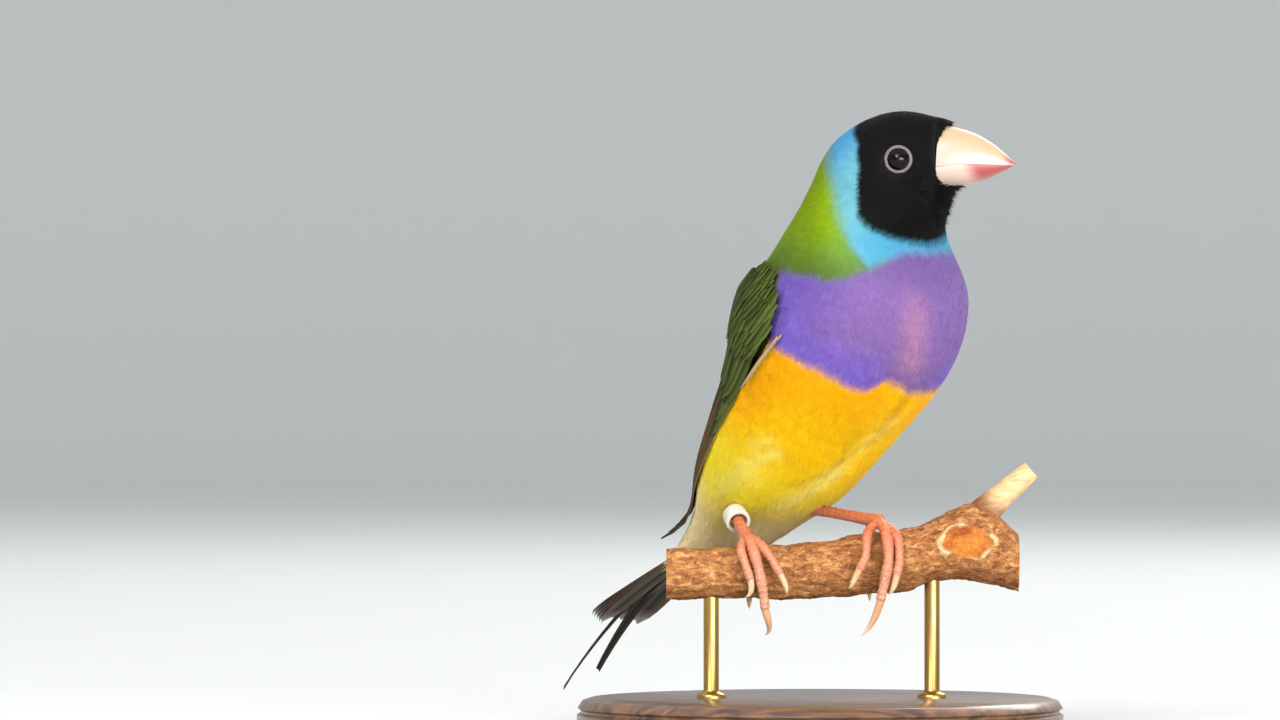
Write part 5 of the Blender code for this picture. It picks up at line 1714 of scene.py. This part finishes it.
class FinchColours(bpy.types.PropertyGroup):
    """Colours of the plumage and of the other finishes"""

    mask_black: swatch("Mask", "#070606", "Head feathers")
    collar_blue: swatch("Nape collar", "#4A95C2", "Collar behind the crown")
    collar_pale: swatch("Cheek collar", "#68A9B8", "Collar behind the cheek")
    collar_cyan: swatch("Throat band", "#4F9DBE", "Collar under the mask")
    neck_lime: swatch("Neck lime", "#85A70A", "Neck beside the collar")
    neck_green: swatch("Neck", "#769000", "Side of the neck")
    side_green: swatch("Neck side", "#568450", "Neck above the breast")
    mantle_olive: swatch("Mantle", "#546A24", "Shoulder above the wing")
    back_green: swatch("Back", "#5C8526", "Back and mantle")
    rump_blue: swatch("Rump", "#5FB0D6", "Rump and upper tail coverts")
    violet: swatch("Violet", "#7059AE", "Flank side of the breast")
    violet_low: swatch("Low violet", "#7B64CA", "Foot of the breast")
    lilac: swatch("Lilac", "#80629E", "Middle of the breast")
    # Painted highlight beside the breast's furrow.
    pink_highlight: swatch("Pink highlight", "#AA7A9D", "Painted highlight beside the breast's furrow")
    upper_purple: swatch("Upper breast", "#6A528B", "Breast under the throat")
    deep_yellow: swatch("Deep yellow", "#FFB300", "Belly under the breast")
    yellow: swatch("Yellow", "#FFCA02", "Belly")
    pale_yellow: swatch("Pale yellow", "#FFE62C", "Lower belly")
    # Painted highlight on the loose feathers of the lower belly.
    swoop_highlight_yellow: swatch("Highlight swoops", "#FFF27A", "Painted highlights on the lower belly's loose feathers")
    # Painted shade in the belly's fold.
    fold_shade_yellow: swatch("Fold", "#CE8C00", "Shaded fold of the belly's coat")
    vent_cream: swatch("Vent", "#F6DDA4", "Vent and under tail coverts")
    wing_green: swatch("Wing", "#3A4619", "Webs of the wing feathers")
    wing_light: swatch("Wing edge", "#5A6430", "Edges of the wing feathers")
    wing_dark: swatch("Wing streak", "#0D0D07", "Shaft streaks of the wing")
    primary_brown: swatch("Primary", "#4A3A2A", "Primaries")
    primary_edge: swatch("Primary edge", "#C9AF80", "Pale outer edge of the primaries")
    primary_dark: swatch("Primary streak", "#251D18", "Shaft streaks of the primaries")
    tail_dark: swatch("Tail", "#1C1810", "Tail pins")
    tail_brown: swatch("Tail web", "#5B4B3E", "Webs of the tail")
    tail_tip: swatch("Tail tip", "#C9C6C0", "Whitish tips of the tail")
    bill_ivory: swatch("Bill", "#AA9D8E", "Ivory of the bill")
    bill_warm: swatch("Bill ridge", "#B0926A", "Warm ridge of the bill")
    bill_pink: swatch("Bill side", "#CBA294", "Pink of the lower bill")
    bill_red: swatch("Bill tip", "#922729", "Red near the tip")
    # Painted shade of the nostril openings.
    nostril: swatch("Nostril", "#6A4A40", "Painted shade of the nostrils")
    pupil: swatch("Pupil", "#050404", "Pupil")
    iris: swatch("Iris", "#0A0504", "Iris")
    lid_grey: swatch("Eyelid", "#77696C", "Bare skin round the eye")
    # Painted shade between the beads of the bare eyelid skin.
    lid_bead_shade: swatch("Eyelid shade", "#4E4446", "Painted shade between the beads of the eyelid")
    leg_coral: swatch("Leg", "#B7583A", "Leg skin")
    leg_pale: swatch("Leg light", "#C98259", "Paler patches of the toes")
    # Painted shade in the creases of the leg skin.
    leg_crease_shade: swatch("Leg crease shade", "#8E4630", "Painted shade between the scales")
    toe_dust: swatch("Toe", "#D3A386", "Dusty skin near the claws")
    claw_horn: swatch("Claw", "#C79A72", "Base of the claws")
    claw_pale: swatch("Claw tip", "#DCC6A4", "Tips of the claws")
    ring_white: swatch("Ring", "#D0CBC2", "Leg ring")
    ring_worn: swatch("Ring wear", "#B9B2A6", "Worn places of the ring")
    bark_tan: swatch("Bark", "#A6703F", "Outer bark")
    bark_brown: swatch("Bark brown", "#83502F", "Middle bark")
    bark_dark: swatch("Bark crack", "#593424", "Cracks of the bark")
    bark_light: swatch("Bark fleck", "#C99A62", "Lifted edges of the bark's flakes")
    scar_orange: swatch("Knot", "#BE7430", "Scar of a lost twig")
    scar_brown: swatch("Knot shade", "#93491C", "Darker gum in the scar")
    wood_pale: swatch("Cut wood", "#D4B483", "Early wood")
    wood_ring: swatch("Growth ring", "#B98350", "Late wood")
    stand_light: swatch("Walnut", "#7A5336", "Light grain of the base")
    stand_dark: swatch("Walnut dark", "#3E2719", "Dark grain of the base")
    brass: swatch("Brass", "#C9A45C", "Rods")
    brass_dark: swatch("Brass shade", "#A8854A", "Drawn lines of the rods")
    floor: swatch("Floor", "#CBCDCC", "Studio floor")


class FINCH_OT_skin(bpy.types.Operator):
    """Lays one skin under the whole coat"""

    bl_idname = "finch.skin"
    bl_label = "Skin"

    def execute(self, context):
        """Makes the piece."""
        make_skin(context.scene.finch_colours)
        return {"FINISHED"}


class FINCH_OT_coat(bpy.types.Operator):
    """Covers the skin with body feathers"""

    bl_idname = "finch.coat"
    bl_label = "Body feathers"

    def execute(self, context):
        """Makes the pieces."""
        make_coat(context.scene.finch_sizes, context.scene.finch_colours)
        return {"FINISHED"}


class FINCH_OT_wings(bpy.types.Operator):
    """Folds both wings over the flanks"""

    bl_idname = "finch.wings"
    bl_label = "Wings"

    def execute(self, context):
        """Makes the pieces."""
        for name, side in (("right", 1), ("left", -1)):
            make_wing(name, side, context.scene.finch_colours)
        return {"FINISHED"}


class FINCH_OT_tail(bpy.types.Operator):
    """Lays the tail feathers"""

    bl_idname = "finch.tail"
    bl_label = "Tail"

    def execute(self, context):
        """Makes the piece."""
        make_tail(context.scene.finch_colours)
        return {"FINISHED"}


class FINCH_OT_bill(bpy.types.Operator):
    """Shapes both halves of the bill"""

    bl_idname = "finch.bill"
    bl_label = "Bill"

    def execute(self, context):
        """Makes the pieces."""
        make_bill(context.scene.finch_colours)
        return {"FINISHED"}


class FINCH_OT_eyes(bpy.types.Operator):
    """Sets the eyes and their bare lids"""

    bl_idname = "finch.eyes"
    bl_label = "Eyes"

    def execute(self, context):
        """Makes the pieces."""
        make_eyes(context.scene.finch_colours)
        return {"FINISHED"}


class FINCH_OT_legs(bpy.types.Operator):
    """Shapes the legs, toes and claws, and the ring on the right leg"""

    bl_idname = "finch.legs"
    bl_label = "Legs, claws and ring"

    def execute(self, context):
        """Makes the pieces."""
        make_legs(context.scene.finch_colours)
        make_claws(context.scene.finch_colours)
        make_leg_ring(context.scene.finch_colours)
        return {"FINISHED"}


class FINCH_OT_perch(bpy.types.Operator):
    """Shapes the cut branch"""

    bl_idname = "finch.perch"
    bl_label = "Perch"

    def execute(self, context):
        """Makes the piece."""
        make_perch(context.scene.finch_colours)
        return {"FINISHED"}


class FINCH_OT_stand(bpy.types.Operator):
    """Turns the base and its rods"""

    bl_idname = "finch.stand"
    bl_label = "Display stand"

    def execute(self, context):
        """Makes the pieces."""
        make_stand(context.scene.finch_colours)
        return {"FINISHED"}


class FINCH_OT_stage(bpy.types.Operator):
    """Sets the floor, the lights and the camera"""

    bl_idname = "finch.stage"
    bl_label = "Stage"

    def execute(self, context):
        """Makes the stage."""
        make_stage(context.scene.finch_colours)
        return {"FINISHED"}


OPERATORS = (
    FINCH_OT_skin,
    FINCH_OT_coat,
    FINCH_OT_wings,
    FINCH_OT_tail,
    FINCH_OT_bill,
    FINCH_OT_eyes,
    FINCH_OT_legs,
    FINCH_OT_perch,
    FINCH_OT_stand,
    FINCH_OT_stage,
)


class FINCH_PT_panel(bpy.types.Panel):
    """Lists the finch's pieces"""

    bl_idname = "FINCH_PT_panel"
    bl_label = "Gouldian finch"
    bl_space_type = "VIEW_3D"
    bl_region_type = "UI"
    bl_category = "Finch"

    def draw(self, context):
        """Draws the sizes, the colours and a button for each group of pieces."""
        for group in (context.scene.finch_sizes, context.scene.finch_colours):
            box = self.layout.box()
            for key in group.__annotations__:
                box.prop(group, key)
        for operator in OPERATORS:
            self.layout.operator(operator.bl_idname)


def register():
    """Registers the classes and the scene's settings."""
    for item in (FinchSizes, FinchColours, *OPERATORS, FINCH_PT_panel):
        bpy.utils.register_class(item)
    bpy.types.Scene.finch_sizes = bpy.props.PointerProperty(type=FinchSizes)
    bpy.types.Scene.finch_colours = bpy.props.PointerProperty(type=FinchColours)


def unregister():
    """Takes the classes and the settings away again."""
    del bpy.types.Scene.finch_sizes
    del bpy.types.Scene.finch_colours
    for item in (FINCH_PT_panel, *reversed(OPERATORS), FinchColours, FinchSizes):
        bpy.utils.unregister_class(item)


def main():
    """Registers the classes and makes every piece in order."""
    register()
    for operator in OPERATORS:
        group, name = operator.bl_idname.split(".")
        getattr(getattr(bpy.ops, group), name)()


if __name__ == "__main__":
    main()
